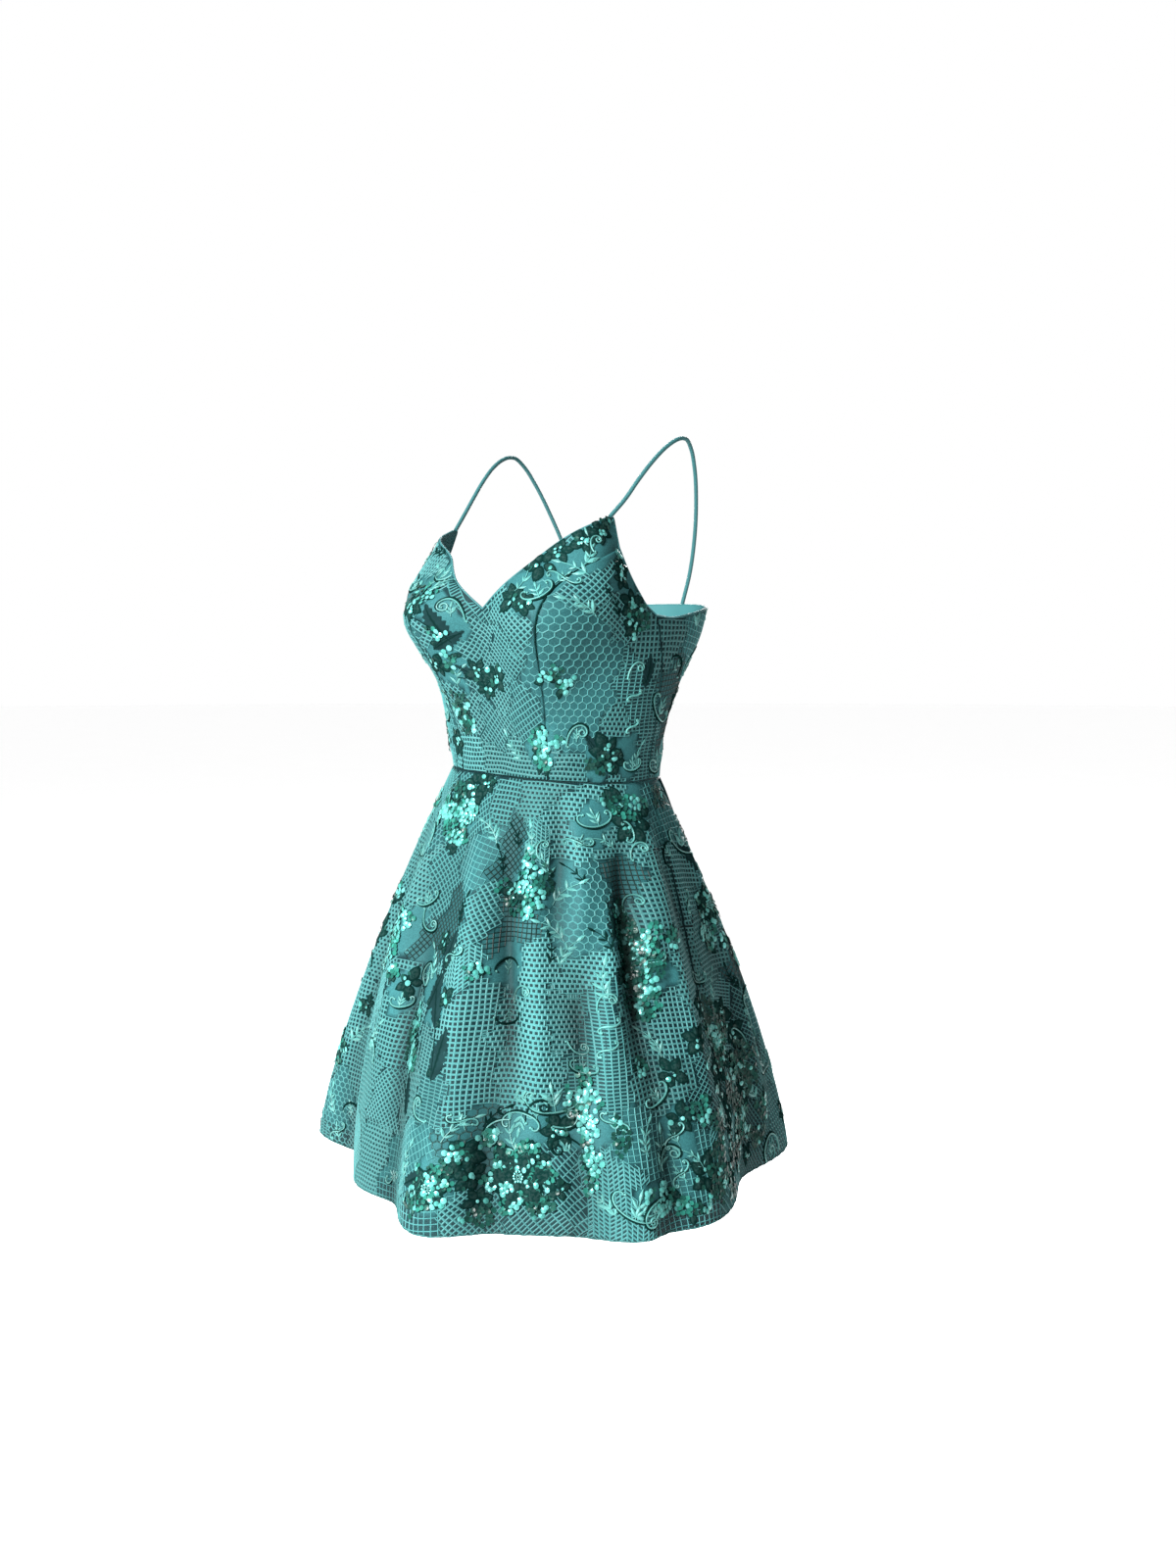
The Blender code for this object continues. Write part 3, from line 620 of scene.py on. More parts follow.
def set_attribute(mesh, name, values):
    """Give each vertex its own value, or all of them one value."""
    layer = mesh.attributes.get(name) or mesh.attributes.new(name, "FLOAT", "POINT")
    layer.data.foreach_set("value", np.full(len(mesh.vertices), values, np.float32))


def set_uv(mesh, x, y):
    """Flat cloth's coordinates in metres, given at each vertex."""
    layer = mesh.uv_layers.new(name="cloth")
    corner = np.empty(len(mesh.loops), np.int32)
    mesh.loops.foreach_get("vertex_index", corner)
    layer.data.foreach_set("uv", (np.stack([x, y], axis=-1)[corner] * MM).astype(np.float32).ravel())


def turn_outwards(mesh):
    bm = bmesh.new()
    bm.from_mesh(mesh)
    bmesh.ops.recalc_face_normals(bm, faces=bm.faces)
    bm.to_mesh(mesh)
    bm.free()


def shade_smoothly(mesh, sharp_from):
    mesh.shade_smooth()
    mesh.set_sharp_from_angle(angle=radians(sharp_from))


def dress_piece(thing, slot):
    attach(thing, "dress")
    # The fold attribute carries painted shade in the skirt's hollows and painted light on its ridges; none on
    # the lining
    set_attribute(thing.data, "fold", 1.0 if slot == "lining" else painted_fold_shade(coordinates(thing.data)))
    return thing


class Finish:
    """A material's nodes, added one after another."""

    def __init__(self, name, roughness, sheen=0.0, metallic=0.0, coat=0.0, specular=0.5):
        self.material = bpy.data.materials.get(name) or bpy.data.materials.new(name)
        self.material.use_nodes = True
        self.tree = self.material.node_tree
        self.shader = self.tree.nodes["Principled BSDF"]
        for socket, value in (("Roughness", roughness), ("Sheen Weight", sheen), ("Metallic", metallic),
                              ("Coat Weight", coat), ("Specular IOR Level", specular)):
            self.shader.inputs[socket].default_value = value

    def node(self, kind, **inputs):
        node = self.tree.nodes.new("ShaderNode" + kind)
        for key, value in inputs.items():
            self.feed(node.inputs[key.replace("_", " ")], value)
        return node

    def feed(self, socket, value):
        if isinstance(value, bpy.types.NodeSocket):
            self.tree.links.new(value, socket)
        else:
            socket.default_value = value

    def coords(self, own_map=False):
        return self.node("TexCoord").outputs["UV" if own_map else "Object"]

    def attribute(self, name):
        node = self.node("Attribute")
        node.attribute_name = name
        return node.outputs["Fac"]

    def noise(self, scale, detail=2.0, own_map=False):
        node = self.node("TexNoise", Vector=self.coords(own_map), Scale=scale, Detail=detail)
        return node.outputs["Fac"]

    def waves(self, scale, distortion, detail=1.0, own_map=False):
        vector = self.coords(own_map)
        node = self.node("TexWave", Vector=vector, Scale=scale, Distortion=distortion, Detail=detail)
        return node.outputs["Fac"]

    def ramp(self, factor, low, high):
        return self.node("MapRange", Value=factor, From_Min=low, From_Max=high).outputs["Result"]

    def mix(self, factor, first, second, blend="MIX"):
        node = self.node("Mix")
        node.data_type = "RGBA"
        node.blend_type = blend
        for socket, value in ((node.inputs[0], factor), (node.inputs[6], first), (node.inputs[7], second)):
            colour = (*value, 1.0) if isinstance(value, tuple) and len(value) == 3 else value
            self.feed(socket, colour)
        return node.outputs[2]

    def maths(self, operation, *values):
        node = self.node("Math")
        node.operation = operation
        for socket, value in zip(node.inputs, values):
            self.feed(socket, value)
        return node.outputs[0]

    def varied(self, factor, low, high, colour, darkest, lightest):
        """A colour between two shares of its lightness, as the factor goes from low to high."""
        return self.mix(self.ramp(factor, low, high), shade(colour, darkest), shade(colour, lightest))

    def colour(self, value):
        self.feed(self.shader.inputs["Base Color"], value)

    def folded_colour(self, value):
        """The colour, with painted shade in the skirt's hollows and painted light on its ridges."""
        self.colour(self.mix(1.0, value, self.attribute("fold"), "MULTIPLY"))

    def roughness(self, value):
        self.feed(self.shader.inputs["Roughness"], value)

    def bump(self, height, distance, strength=0.7):
        node = self.node("Bump", Height=height, Distance=distance, Strength=strength)
        self.feed(self.shader.inputs["Normal"], node.outputs["Normal"])


def shade(colour, by=1.0):
    return tuple(channel * by for channel in colour)


@cache
def satin(name):
    """Satin with fine slanting floats, a few paler streaks and a soft sheen."""
    look = scene_look()
    made = Finish(name, 0.45, specular=0.12)
    fine = made.waves(420.0, 1.2, own_map=True)
    cloudy = made.noise(14.0, 3.0)
    streaks = made.noise(90.0, own_map=True)
    base = made.varied(cloudy, 0.35, 0.7, look.satin, 0.88, 1.1)
    base = made.mix(made.maths("MULTIPLY", streaks, 0.35), base, shade(look.satin, 1.25))
    made.folded_colour(base)
    made.roughness(made.ramp(streaks, -1.4, 1.9))
    made.bump(made.maths("ADD", fine, made.maths("MULTIPLY", cloudy, 3.0)), 0.00012, 0.6)
    return made.material


@cache
def lace_ground():
    """Tulle over satin: green where plain, dark behind the net as darker tulle and painted shade, and thin
    below the lining's hem.
    """
    look = scene_look()
    made = Finish("lace_ground", 0.6, specular=0.04)
    mesh_holes = made.node("TexVoronoi", Vector=made.coords(True), Scale=900.0).outputs["Distance"]
    cloudy = made.noise(16.0, 3.0)
    plain = made.varied(cloudy, 0.35, 0.7, look.satin, 0.9, 1.1)
    behind = made.varied(made.noise(260.0, 1.0, own_map=True), 0.3, 0.7, look.gap, 0.8, 1.3)
    base = made.mix(made.attribute("ground"), plain, behind)
    base = made.mix(made.maths("MULTIPLY", made.ramp(mesh_holes, 0.25, 0.6), 0.3), base, shade(look.gap))
    made.folded_colour(base)
    made.bump(made.maths("ADD", mesh_holes, cloudy), 0.00015, 0.5)
    mixer = made.node("MixShader")
    layers = made.attribute("cover"), made.node("BsdfTransparent").outputs[0], made.shader.outputs[0]
    for socket, value in zip(mixer.inputs, layers):
        made.feed(socket, value)
    made.feed(made.tree.nodes["Material Output"].inputs["Surface"], mixer.outputs[0])
    return made.material


@cache
def thread(name, dark=False):
    """Lustrous embroidery thread with its twist, darker or lighter by the tone attribute."""
    look = scene_look()
    made = Finish(name, 0.5, specular=0.0 if dark else 0.1)
    fine = made.noise(700.0, 1.0)
    if dark:
        base = made.mix(fine, shade(look.thread_dark, 0.6), shade(look.thread_dark, 1.6))
    else:
        tone = made.attribute("tone")
        uneven = made.maths("ADD", tone, made.maths("MULTIPLY_ADD", fine, 0.5, -0.25))
        base = made.mix(made.ramp(uneven, 0.0, 1.0), shade(look.thread_dark), shade(look.thread_light))
        cloudy = made.ramp(made.noise(30.0), 0.35, 0.8)
        worn = made.maths("MULTIPLY", cloudy, made.maths("MULTIPLY", tone, 0.4))
        base = made.mix(worn, base, shade(look.satin))
    made.folded_colour(base)
    made.bump(made.waves(520.0, 2.0, detail=2.0), 0.0001)
    return made.material


@cache
def cord_thread():
    """Pale satin-stitched thread of the scrolls and leaves, its stitches lying across."""
    look = scene_look()
    made = Finish("thread_cord", 0.42, specular=0.18)
    stitches = made.waves(380.0, 3.0)
    base = made.varied(made.noise(45.0), 0.35, 0.7, look.cord, 0.72, 1.12)
    made.folded_colour(made.mix(made.maths("MULTIPLY", stitches, 0.3), base, shade(look.cord, 0.5)))
    made.bump(stitches, 0.00012)
    return made.material


@cache
def petal_finish():
    """Dark embroidered petal with green specks inside its darker edge."""
    look = scene_look()
    made = Finish("thread_petal", 0.6, specular=0.0)
    specks = made.noise(380.0)
    inside = made.mix(made.ramp(specks, 0.42, 0.6), shade(look.thread_dark, 1.4), shade(look.petal))
    rim = made.ramp(made.attribute("rim"), 0.66, 0.8)
    made.folded_colour(made.mix(rim, inside, shade(look.thread_dark, 1.1)))
    made.bump(specks, 0.0002)
    return made.material


@cache
def leaf_finish():
    """Closely stitched dark leaf, its stitches slanting to both sides of a darker rib."""
    look = scene_look()
    made = Finish("thread_leaf", 0.6, specular=0.0)
    stitches = made.waves(300.0, 4.0)
    base = made.varied(made.noise(60.0), 0.3, 0.7, look.leaf, 0.75, 1.2)
    base = made.mix(made.maths("MULTIPLY", stitches, 0.45), base, shade(look.thread_dark))
    rim = made.ramp(made.attribute("rim"), 0.0, 0.25)
    made.folded_colour(made.mix(rim, shade(look.thread_dark, 0.8), base))
    made.bump(stitches, 0.00015)
    return made.material


@cache
def sequin_finish(name, dark=False):
    """Glossy sequin foil, its tint different from one to the next by the tone attribute."""
    look = scene_look()
    made = Finish(name, 0.2, metallic=0.0 if dark else 0.3, specular=0.06 if dark else 0.14)
    first, second = (look.sequin_dark, look.sequin_deep) if dark else (look.sequin_bright, look.sequin_pale)
    made.folded_colour(made.mix(made.attribute("tone"), shade(first), shade(second)))
    made.roughness(made.ramp(made.noise(900.0, 1.0), -0.4, 2.6))
    return made.material


@cache
def zip_finish():
    """Painted metal with fine wear at random spots."""
    made = Finish("zip_paint", 0.32, metallic=0.25, coat=0.3)
    specks = made.noise(900.0, 3.0)
    made.colour(made.mix(made.ramp(specks, 0.62, 0.75), shade(scene_look().zip), (0.16, 0.3, 0.29)))
    made.roughness(made.ramp(specks, -0.5, 1.9))
    made.bump(made.noise(2600.0, 1.0), 0.00004, 0.5)
    return made.material


# --- cloth

CROWDING = 0.35
WAIST_GAP = 0.3  # mm between the waist seam and the cloth's edge
SEAM_OVERLAP = 0.06  # degrees that a skirt panel goes past each seam
PANEL_WIDTH = 400.0  # mm, about a panel's own
SEAM_REACH = 2.2  # mm to each side of a seam that the cloth sinks in
WAIST_REACH = 1.8
# Below the lining's hem the ground is dark tulle that also paints shade, as behind the net
HEM_GROUND = 0.85  # how dark the ground is below the lining's hem, and how much of it covers what is behind
HEM_COVER = 0.94

# A shell's grid, and in mm the lift of its outer face, its wall and the depth of its seams
Build = namedtuple("Build", "columns rows lift wall seam_depth")
BODICE_BUILD = Build(48, 44, 0.0, 1.6, 1.3)
BODICE_COLUMNS = {"bodice_front_centre": 64, "bodice_side_front_left": 40, "bodice_side_front_right": 40}
SKIRT_BUILD = Build(70, 76, -0.1, 0.5, 1.2)
LINING_BUILD = Build(50, 36, -1.5, 0.8, 1.2)
FRONT_COLUMNS = {"skirt": 150, "lining": 110}


def crowded(share):
    """Shares from 0 to 1 that stand closer near both ends."""
    return (1 - CROWDING) * share + CROWDING * (0.5 - 0.5 * np.cos(pi * share))


def cloth_shell(name, build, area, shape, materials):
    """A closed thin sheet with sunk seams; shape gives turns and runs at each u, across, and v, up."""
    bm = bmesh.new()
    bmesh.ops.create_grid(bm, x_segments=build.columns, y_segments=build.rows, size=0.5)
    count = len(bm.verts)
    copied = bmesh.ops.duplicate(bm, geom=list(bm.verts) + list(bm.edges) + list(bm.faces))
    inner_faces = [item for item in copied["geom"] if isinstance(item, bmesh.types.BMFace)]
    for face in inner_faces:
        face.material_index = len(materials) - 1
    bmesh.ops.reverse_faces(bm, faces=inner_faces)
    bmesh.ops.bridge_loops(bm, edges=[edge for edge in bm.edges if edge.is_boundary])
    mesh = mesh_from(bm, name)
    flat = coordinates(mesh)[:, :2] + 0.5
    u, v = crowded(flat[:, 0]), flat[:, 1]
    turn, run = shape(u, v)
    near_seam = np.exp(-((np.minimum(u, 1 - u) * PANEL_WIDTH / SEAM_REACH) ** 2))
    near_waist = np.exp(-((np.abs(run) / WAIST_REACH) ** 2))
    inner = np.arange(len(flat)) >= count
    sunk = build.seam_depth * np.maximum(near_seam, near_waist)
    set_coordinates(mesh, skin(area, turn, run, build.lift - sunk - build.wall * inner)[0])
    x, y = area.flat(turn, run)
    set_uv(mesh, x, y)
    shade_smoothly(mesh, 55)
    return new_object(name, mesh, *materials), run, x, y


def flat_share(mesh, x, y):
    """Share of its flat rectangle that a closed sheet's one face covers."""
    total = 0.0
    mesh.calc_loop_triangles()
    for triangle in mesh.loop_triangles:
        a, b, c = triangle.vertices
        total += abs((x[b] - x[a]) * (y[c] - y[a]) - (x[c] - x[a]) * (y[b] - y[a])) / 2
    return total / 2 / (np.ptp(x) * np.ptp(y))


def in_place_of(thing, node, x, y):
    """The shell stands in for a node, which is hidden; the size of its flat sheet and the share of its box are
    worked out but not used.
    """
    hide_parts(node)
    width, length = (float(np.ptp(values)) * MM for values in (x, y))
    share = min(0.98, max(0.32, flat_share(thing.data, x, y)))


# The ground attribute: how dark the tulle behind the net is, darker tulle that also paints the shade between
# threads
def paint_ground(mesh, x, y, skirt):
    weaves = [WEAVES[row.weave] for row in seeds_in(skirt)[0]]
    ground = np.array([PLAIN_GROUND if weave is None else weave.ground for weave in weaves])
    shown = ground[owners(skirt, x, y)]
    if skirt:
        shown = np.where(np.hypot(x, y) - CONE_TIP > LINING_HEM_RUN, HEM_GROUND, shown)
    set_attribute(mesh, "ground", shown)


def make_bodice_cloth():
    materials = lace_ground(), satin("satin_inside")
    for name, (edges, hold) in bodice_edges().items():
        def shape(u, v, blend=patch(*edges, hold)):
            v = 1 - (1 - v) ** 1.3
            turn, height = np.moveaxis(blend(1.003 * u - 0.0015, v), -1, 0)
            return turn, -height / MM - WAIST_GAP * (1 - v)
        build = BODICE_BUILD._replace(columns=BODICE_COLUMNS.get(name, BODICE_BUILD.columns))
        thing, _, x, y = cloth_shell("cloth_" + name, build, area_of(False), shape, materials)
        paint_ground(thing.data, x, y, False)
        set_attribute(thing.data, "cover", 1.0)
        dress_piece(thing, "lace")
        in_place_of(thing, name, x, y)


def make_skirt_cloth():
    for layer, build, end in (("skirt", SKIRT_BUILD, HEM_RUN), ("lining", LINING_BUILD, LINING_HEM_RUN)):
        lining = layer == "lining"
        materials = (satin("satin_lining") if lining else lace_ground(),)
        for panel in SKIRT_PANELS:
            def shape(u, v, panel=panel, end=end):
                run = WAIST_GAP + (1 - v) * (end - WAIST_GAP)
                low, high = seam_turns(panel, run)
                return low - SEAM_OVERLAP + (high - low + 2 * SEAM_OVERLAP) * u, run
            columns = FRONT_COLUMNS[layer] if panel == "front" else build.columns
            thing, run, x, y = cloth_shell(f"{layer}_cloth_{panel}", build._replace(columns=columns),
                                           area_of(True), shape, materials)
            if not lining:
                paint_ground(thing.data, x, y, True)
                cover = np.interp(run, (LINING_HEM_RUN - 2, LINING_HEM_RUN + 2), (1.0, HEM_COVER))
                set_attribute(thing.data, "cover", cover)
            dress_piece(thing, "lining" if lining else "lace")
            in_place_of(thing, f"{layer}_{panel}", x, y)


STRAP_RADIUS = 2.2 * MM
STRAP_POINTS = 70


def length_along(points):
    return np.concatenate([[0], np.cumsum(np.linalg.norm(np.diff(points, axis=0), axis=1))])


def strap_points(sign):
    route = np.array(STRAP_ROUTE) * MM
    along = length_along(route)
    at = np.linspace(0, along[-1], STRAP_POINTS)
    left, back, height = (smooth(along, route[:, i], at) for i in range(3))
    return leaned(left * sign, back, height)


def tubes(name, paths, radius, material, sides=1, radii=None):
    """Closed tubes along paths of points, in one mesh; radii are shares of the radius at the points."""
    curve = bpy.data.curves.new(name, "CURVE")
    curve.dimensions = "3D"
    curve.bevel_depth = radius
    curve.bevel_resolution = sides
    curve.use_fill_caps = True
    for i, path in enumerate(paths):
        spline = curve.splines.new("POLY")
        spline.points.add(len(path) - 1)
        placed = np.column_stack([path, np.ones(len(path))]).astype(np.float32)
        spline.points.foreach_set("co", placed.ravel())
        if radii is not None:
            spline.points.foreach_set("radius", radii[i].astype(np.float32))
    path_object = new_object(name + "_path", curve)
    mesh = bpy.data.meshes.new_from_object(path_object.evaluated_get(bpy.context.evaluated_depsgraph_get()))
    bpy.data.objects.remove(path_object, do_unlink=True)
    mesh.name = name
    turn_outwards(mesh)
    shade_smoothly(mesh, 60)
    return new_object(name, mesh, material)


def make_straps():
    for side, sign in (("left", 1), ("right", -1)):
        points = strap_points(sign)
        thing = tubes("strap_cord_" + side, [points], STRAP_RADIUS, satin("satin_strap"), sides=4)
        dress_piece(thing, "strap")
        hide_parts("strap_" + side)


# --- edges and stitches

# Where the dark cord along each cup's princess seam starts and ends, as shares of the seam; the cord paints the
# seam's shadow
CUP_SEAM_SHADOW_SHARES = (0.42, 0.88)
STITCHES_APART = 1.6  # degrees round the lining's hem
STITCHES_UP = 7  # mm up from the lining's hem


def make_edges():
    """Rolled binding round the bodice's upper edge, dark cords that paint shadow along the cups' seams, and a
    fine cord along the hem.
    """
    bodice, skirt = area_of(False), area_of(True)
    share = np.linspace(0, 1, 90)
    front = front_top_half(share)
    rest = np.concatenate([edge_curve(ARMHOLE)(share[1:]), edge_curve(BACK_EDGE)(share[1:])])
    half = np.concatenate([front, rest])
    around = np.concatenate([half[::-1] * np.array([-1.0, 1.0]), half[1:]])
    path = skin(bodice, around[:, 0], -around[:, 1] / MM + 0.4, -0.8)[0]
    binding = tubes("edge_binding", [path], 1.15 * MM, satin("satin_binding"), sides=2)
    hem_turns = np.linspace(-180, 180, 540)
    wavy = HEM_RUN - 0.9 + 0.5 * np.sin(hem_turns * 1.7)
    hem = tubes("hem_cord", [skin(skirt, hem_turns, wavy, 0.1)[0]], 0.7 * MM, thread("thread_hem"))
    set_attribute(hem.data, "tone", 0.45)
    stitch_run = np.full(4, LINING_HEM_RUN - STITCHES_UP)
    stitches = [skin(skirt, np.linspace(start, start + 1.0, 4), stitch_run, -2.45)[0]
                for start in np.arange(-179, 179, STITCHES_APART)]
    lining_stitches = tubes("lining_hem_stitches", stitches, 0.28 * MM, thread("thread_stitch"), sides=0)
    set_attribute(lining_stitches.data, "tone", 0.5)
    # Painted shadow: a dark cord along each cup's princess seam
    seam = edge_curve(PRINCESS_SEAM)(np.linspace(*CUP_SEAM_SHADOW_SHARES, 48))
    sides = [skin(bodice, sign * seam[:, 0], -seam[:, 1] / MM, -0.4)[0] for sign in (1, -1)]
    swell = 0.3 + 0.9 * np.sin(np.linspace(0, pi, len(seam)))
    cup_cord = tubes("cup_cord", sides, 0.9 * MM, thread("thread_dark", dark=True), radii=[swell, swell])
    for thing in (binding, hem, lining_stitches, cup_cord):
        dress_piece(thing, "lace")


# --- zip

ZIP_TOP = -172.0  # run of the closed zip's upper end, just under the slider's top
ZIP_END = 150.0
ZIP_TAPE = (1.3, 13.0)  # mm from the centre back to the tape's inner and outer edge
ZIP_TAPE_LIFT = (-2.3, -3.1)  # on the bodice and on the skirt
ZIP_TAPE_WALL = 0.35
COIL_PITCH = 1.3
COIL_REACH = 1.0
COIL_WIRE = 0.3 * MM


def inside_back(across, run, lift=0.0):
    """Points inside the centre back, at distances in mm from the seam towards the wearer's left, and down."""
    across, run = np.asarray(across, float), np.asarray(run, float)

    def both(turn, lift=0.0):
        return (skin(area_of(False), turn, np.minimum(run, 0), lift)[0],
                skin(area_of(True), turn, np.maximum(run, 0), lift)[0])

    middle = np.where((run < 0)[:, None], *both(180 + 0 * run))
    radius = np.hypot(middle[:, 0], middle[:, 1] + AXIS_FORWARD) / MM
    turn = 180 - np.degrees(across / radius)
    on_bodice, on_skirt = both(turn, np.interp(run, (-5, 5), ZIP_TAPE_LIFT) + lift)
    share = np.clip(run / 10 + 0.5, 0, 1)[:, None]
    return on_bodice * (1 - share) + on_skirt * share


def make_zip():
    """Tapes and coil of the concealed zip, inside the centre back, and the finish of its slider and pull."""
    for name in ("zip_slider", "zip_pull"):
        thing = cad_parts[name]
        thing.data.materials.clear()
        thing.data.materials.append(zip_finish())
    length = ZIP_END - ZIP_TOP
    for side, sign in (("left", 1), ("right", -1)):
        bm = bmesh.new()
        bmesh.ops.create_grid(bm, x_segments=4, y_segments=90, size=0.5)
        bmesh.ops.solidify(bm, geom=list(bm.faces), thickness=ZIP_TAPE_WALL)
        mesh = mesh_from(bm, "zip_tape_" + side)
        x, y, z = coordinates(mesh).T
        across = ZIP_TAPE[0] + (x + 0.5) * (ZIP_TAPE[1] - ZIP_TAPE[0])
        set_coordinates(mesh, inside_back(sign * across, ZIP_END - (y + 0.5) * length, -np.abs(z)))
        turn_outwards(mesh)
        shade_smoothly(mesh, 50)
        tape = dress_piece(new_object(mesh.name, mesh, thread("thread_tape")), "zip")
        set_attribute(mesh, "tone", 0.35)
        steps = np.arange(0, length / COIL_PITCH, 0.1)
        angle = 2 * pi * steps + (0 if sign > 0 else pi)
        wide = sign * 0.6 + COIL_REACH * np.sin(angle)
        path = inside_back(wide, ZIP_END - steps * COIL_PITCH, -0.2 + 0.5 * np.cos(angle))
        coil = dress_piece(tubes("zip_coil_" + side, [path], COIL_WIRE, zip_finish(), sides=0), "zip")
        coil.data.shade_smooth()


# --- net

PATCH_WIDTH = 150.0  # mm that every patch fits in, before it is cut to its own outline
PATCH_LENGTH = 170.0
NET_FROM_WAIST = 1.2  # mm that the net stays away from the waist seam, and from the bodice's upper edge
NET_FROM_EDGE = 2.0


def net_cells(weave, turned):
    """Cells of one weave in a rectangle about the origin, in mm."""
    columns, rows = round(PATCH_WIDTH / weave.across), round(PATCH_LENGTH / weave.down)
    bm = bmesh.new()
    bmesh.ops.create_grid(bm, x_segments=columns, y_segments=rows, size=0.5)
    place_of = {vert: (round((vert.co.x + 0.5) * columns), round((vert.co.y + 0.5) * rows))
                for vert in bm.verts}
    if weave.brick:
        crossing = []
        for edge in bm.edges:
            (i, j), (i_end, j_end) = (place_of[vert] for vert in edge.verts)
            if i == i_end and (i + min(j, j_end)) % 2 and not edge.is_boundary:
                crossing.append(edge)
        bmesh.ops.dissolve_edges(bm, edges=crossing, use_verts=False)
    for vert in bm.verts:
        i, j = place_of[vert]
        x, y = (i - columns / 2) * weave.across, (j - rows / 2) * weave.down
        if weave.peak:
            y += weave.peak * (1 if (i + j) % 2 == 0 else -1)
        if weave.rise:
            y += weave.across * 0.75 * abs(i % 6 - 3)
        vert.co = x, y, 0
    turning = Matrix.Rotation(radians(weave.turn + turned), 3, "Z")
    bmesh.ops.rotate(bm, verts=bm.verts, cent=(0, 0, 0), matrix=turning)
    return bm


def rotated(x, y, angle):
    c, s = cos(angle), sin(angle)
    return x * c - y * s, x * s + y * c


def on_lattice(weave, angle, x, y):
    """The weave's lattice point nearest to a place, so that patches of one weave run into one another."""
    across, down = rotated(x, y, -angle)
    across = round(across / weave.across / 2) * 2 * weave.across
    down = round(down / weave.down / 2) * 2 * weave.down
    return rotated(across, down, angle)


def wobble(x, y):
    """The net is never quite even."""
    return (x + 0.8 * np.sin(y / 21 + 1) + 0.3 * np.sin(x / 4.3 + y / 7.1),
            y + 0.8 * np.sin(x / 17 + 2) + 0.3 * np.sin(y / 5.3 - x / 6.7))


def net_patch(index, row, skirt, panel):
    """One patch's net as a mesh on the dress, or None where the panel has none of it."""
    area, weave = area_of(skirt), WEAVES[row.weave]
    away = NET_FROM_WAIST, 0.0 if skirt else NET_FROM_EDGE
    heading = radians(row.turn) * CONE_SHARE if skirt else 0.0
    bm = net_cells(weave, row.turned + degrees(heading))
    angle = radians(weave.turn + row.turned) + heading
    spot_x, spot_y = on_lattice(weave, angle, *seeds_in(skirt)[1][index])
    faces = list(bm.faces)
    middles = np.array([face.calc_center_median()[:2] for face in faces])
    x, y = wobble(middles[:, 0] + spot_x, middles[:, 1] + spot_y)
    turn, run = area.unflat(x, y)
    low_turn, high_turn = seam_turns(panel, run)
    low_run, high_run = run_limits(skirt, turn, *away)
    inside = (turn > low_turn) & (turn < high_turn) & (run > low_run) & (run < high_run)
    inside &= owners(skirt, x, y) == index
    bmesh.ops.delete(bm, geom=[face for face, kept in zip(faces, inside) if not kept], context="FACES")
    if not bm.faces:
        bm.free()
        return None
    cells = list(bm.faces)
    rise = scene_look().thread_height / MM
    bmesh.ops.inset_individual(bm, faces=cells, thickness=weave.thread, depth=-rise, use_even_offset=True)
    bmesh.ops.delete(bm, geom=cells, context="FACES_ONLY")
    mesh = mesh_from(bm, "patch")
    co = coordinates(mesh)
    x, y = wobble(co[:, 0] + spot_x, co[:, 1] + spot_y)
    turn, run = area.unflat(x, y)
    low_turn, high_turn = seam_turns(panel, run)
    turn = np.clip(turn, low_turn + 0.4, high_turn - 0.4)
    run = np.clip(run, *run_limits(skirt, turn, *away))
    set_coordinates(mesh, skin(area, turn, run, co[:, 2] + rise - 0.05)[0])
    return mesh


def make_net_panel(name, skirt, panel):
    whole = bmesh.new()
    tones = []
    for index, row in enumerate(seeds_in(skirt)[0]):
        weave = WEAVES[row.weave]
        mesh = None if weave is None else net_patch(index, row, skirt, panel)
        if mesh is not None:
            tones.append(np.full(len(mesh.vertices), weave.tone))
            whole.from_mesh(mesh)
            bpy.data.meshes.remove(mesh)
    mesh = mesh_from(whole, name)
    set_attribute(mesh, "tone", np.concatenate(tones))
    return dress_piece(new_object(name, mesh, thread("thread_net")), "lace")


# --- motifs

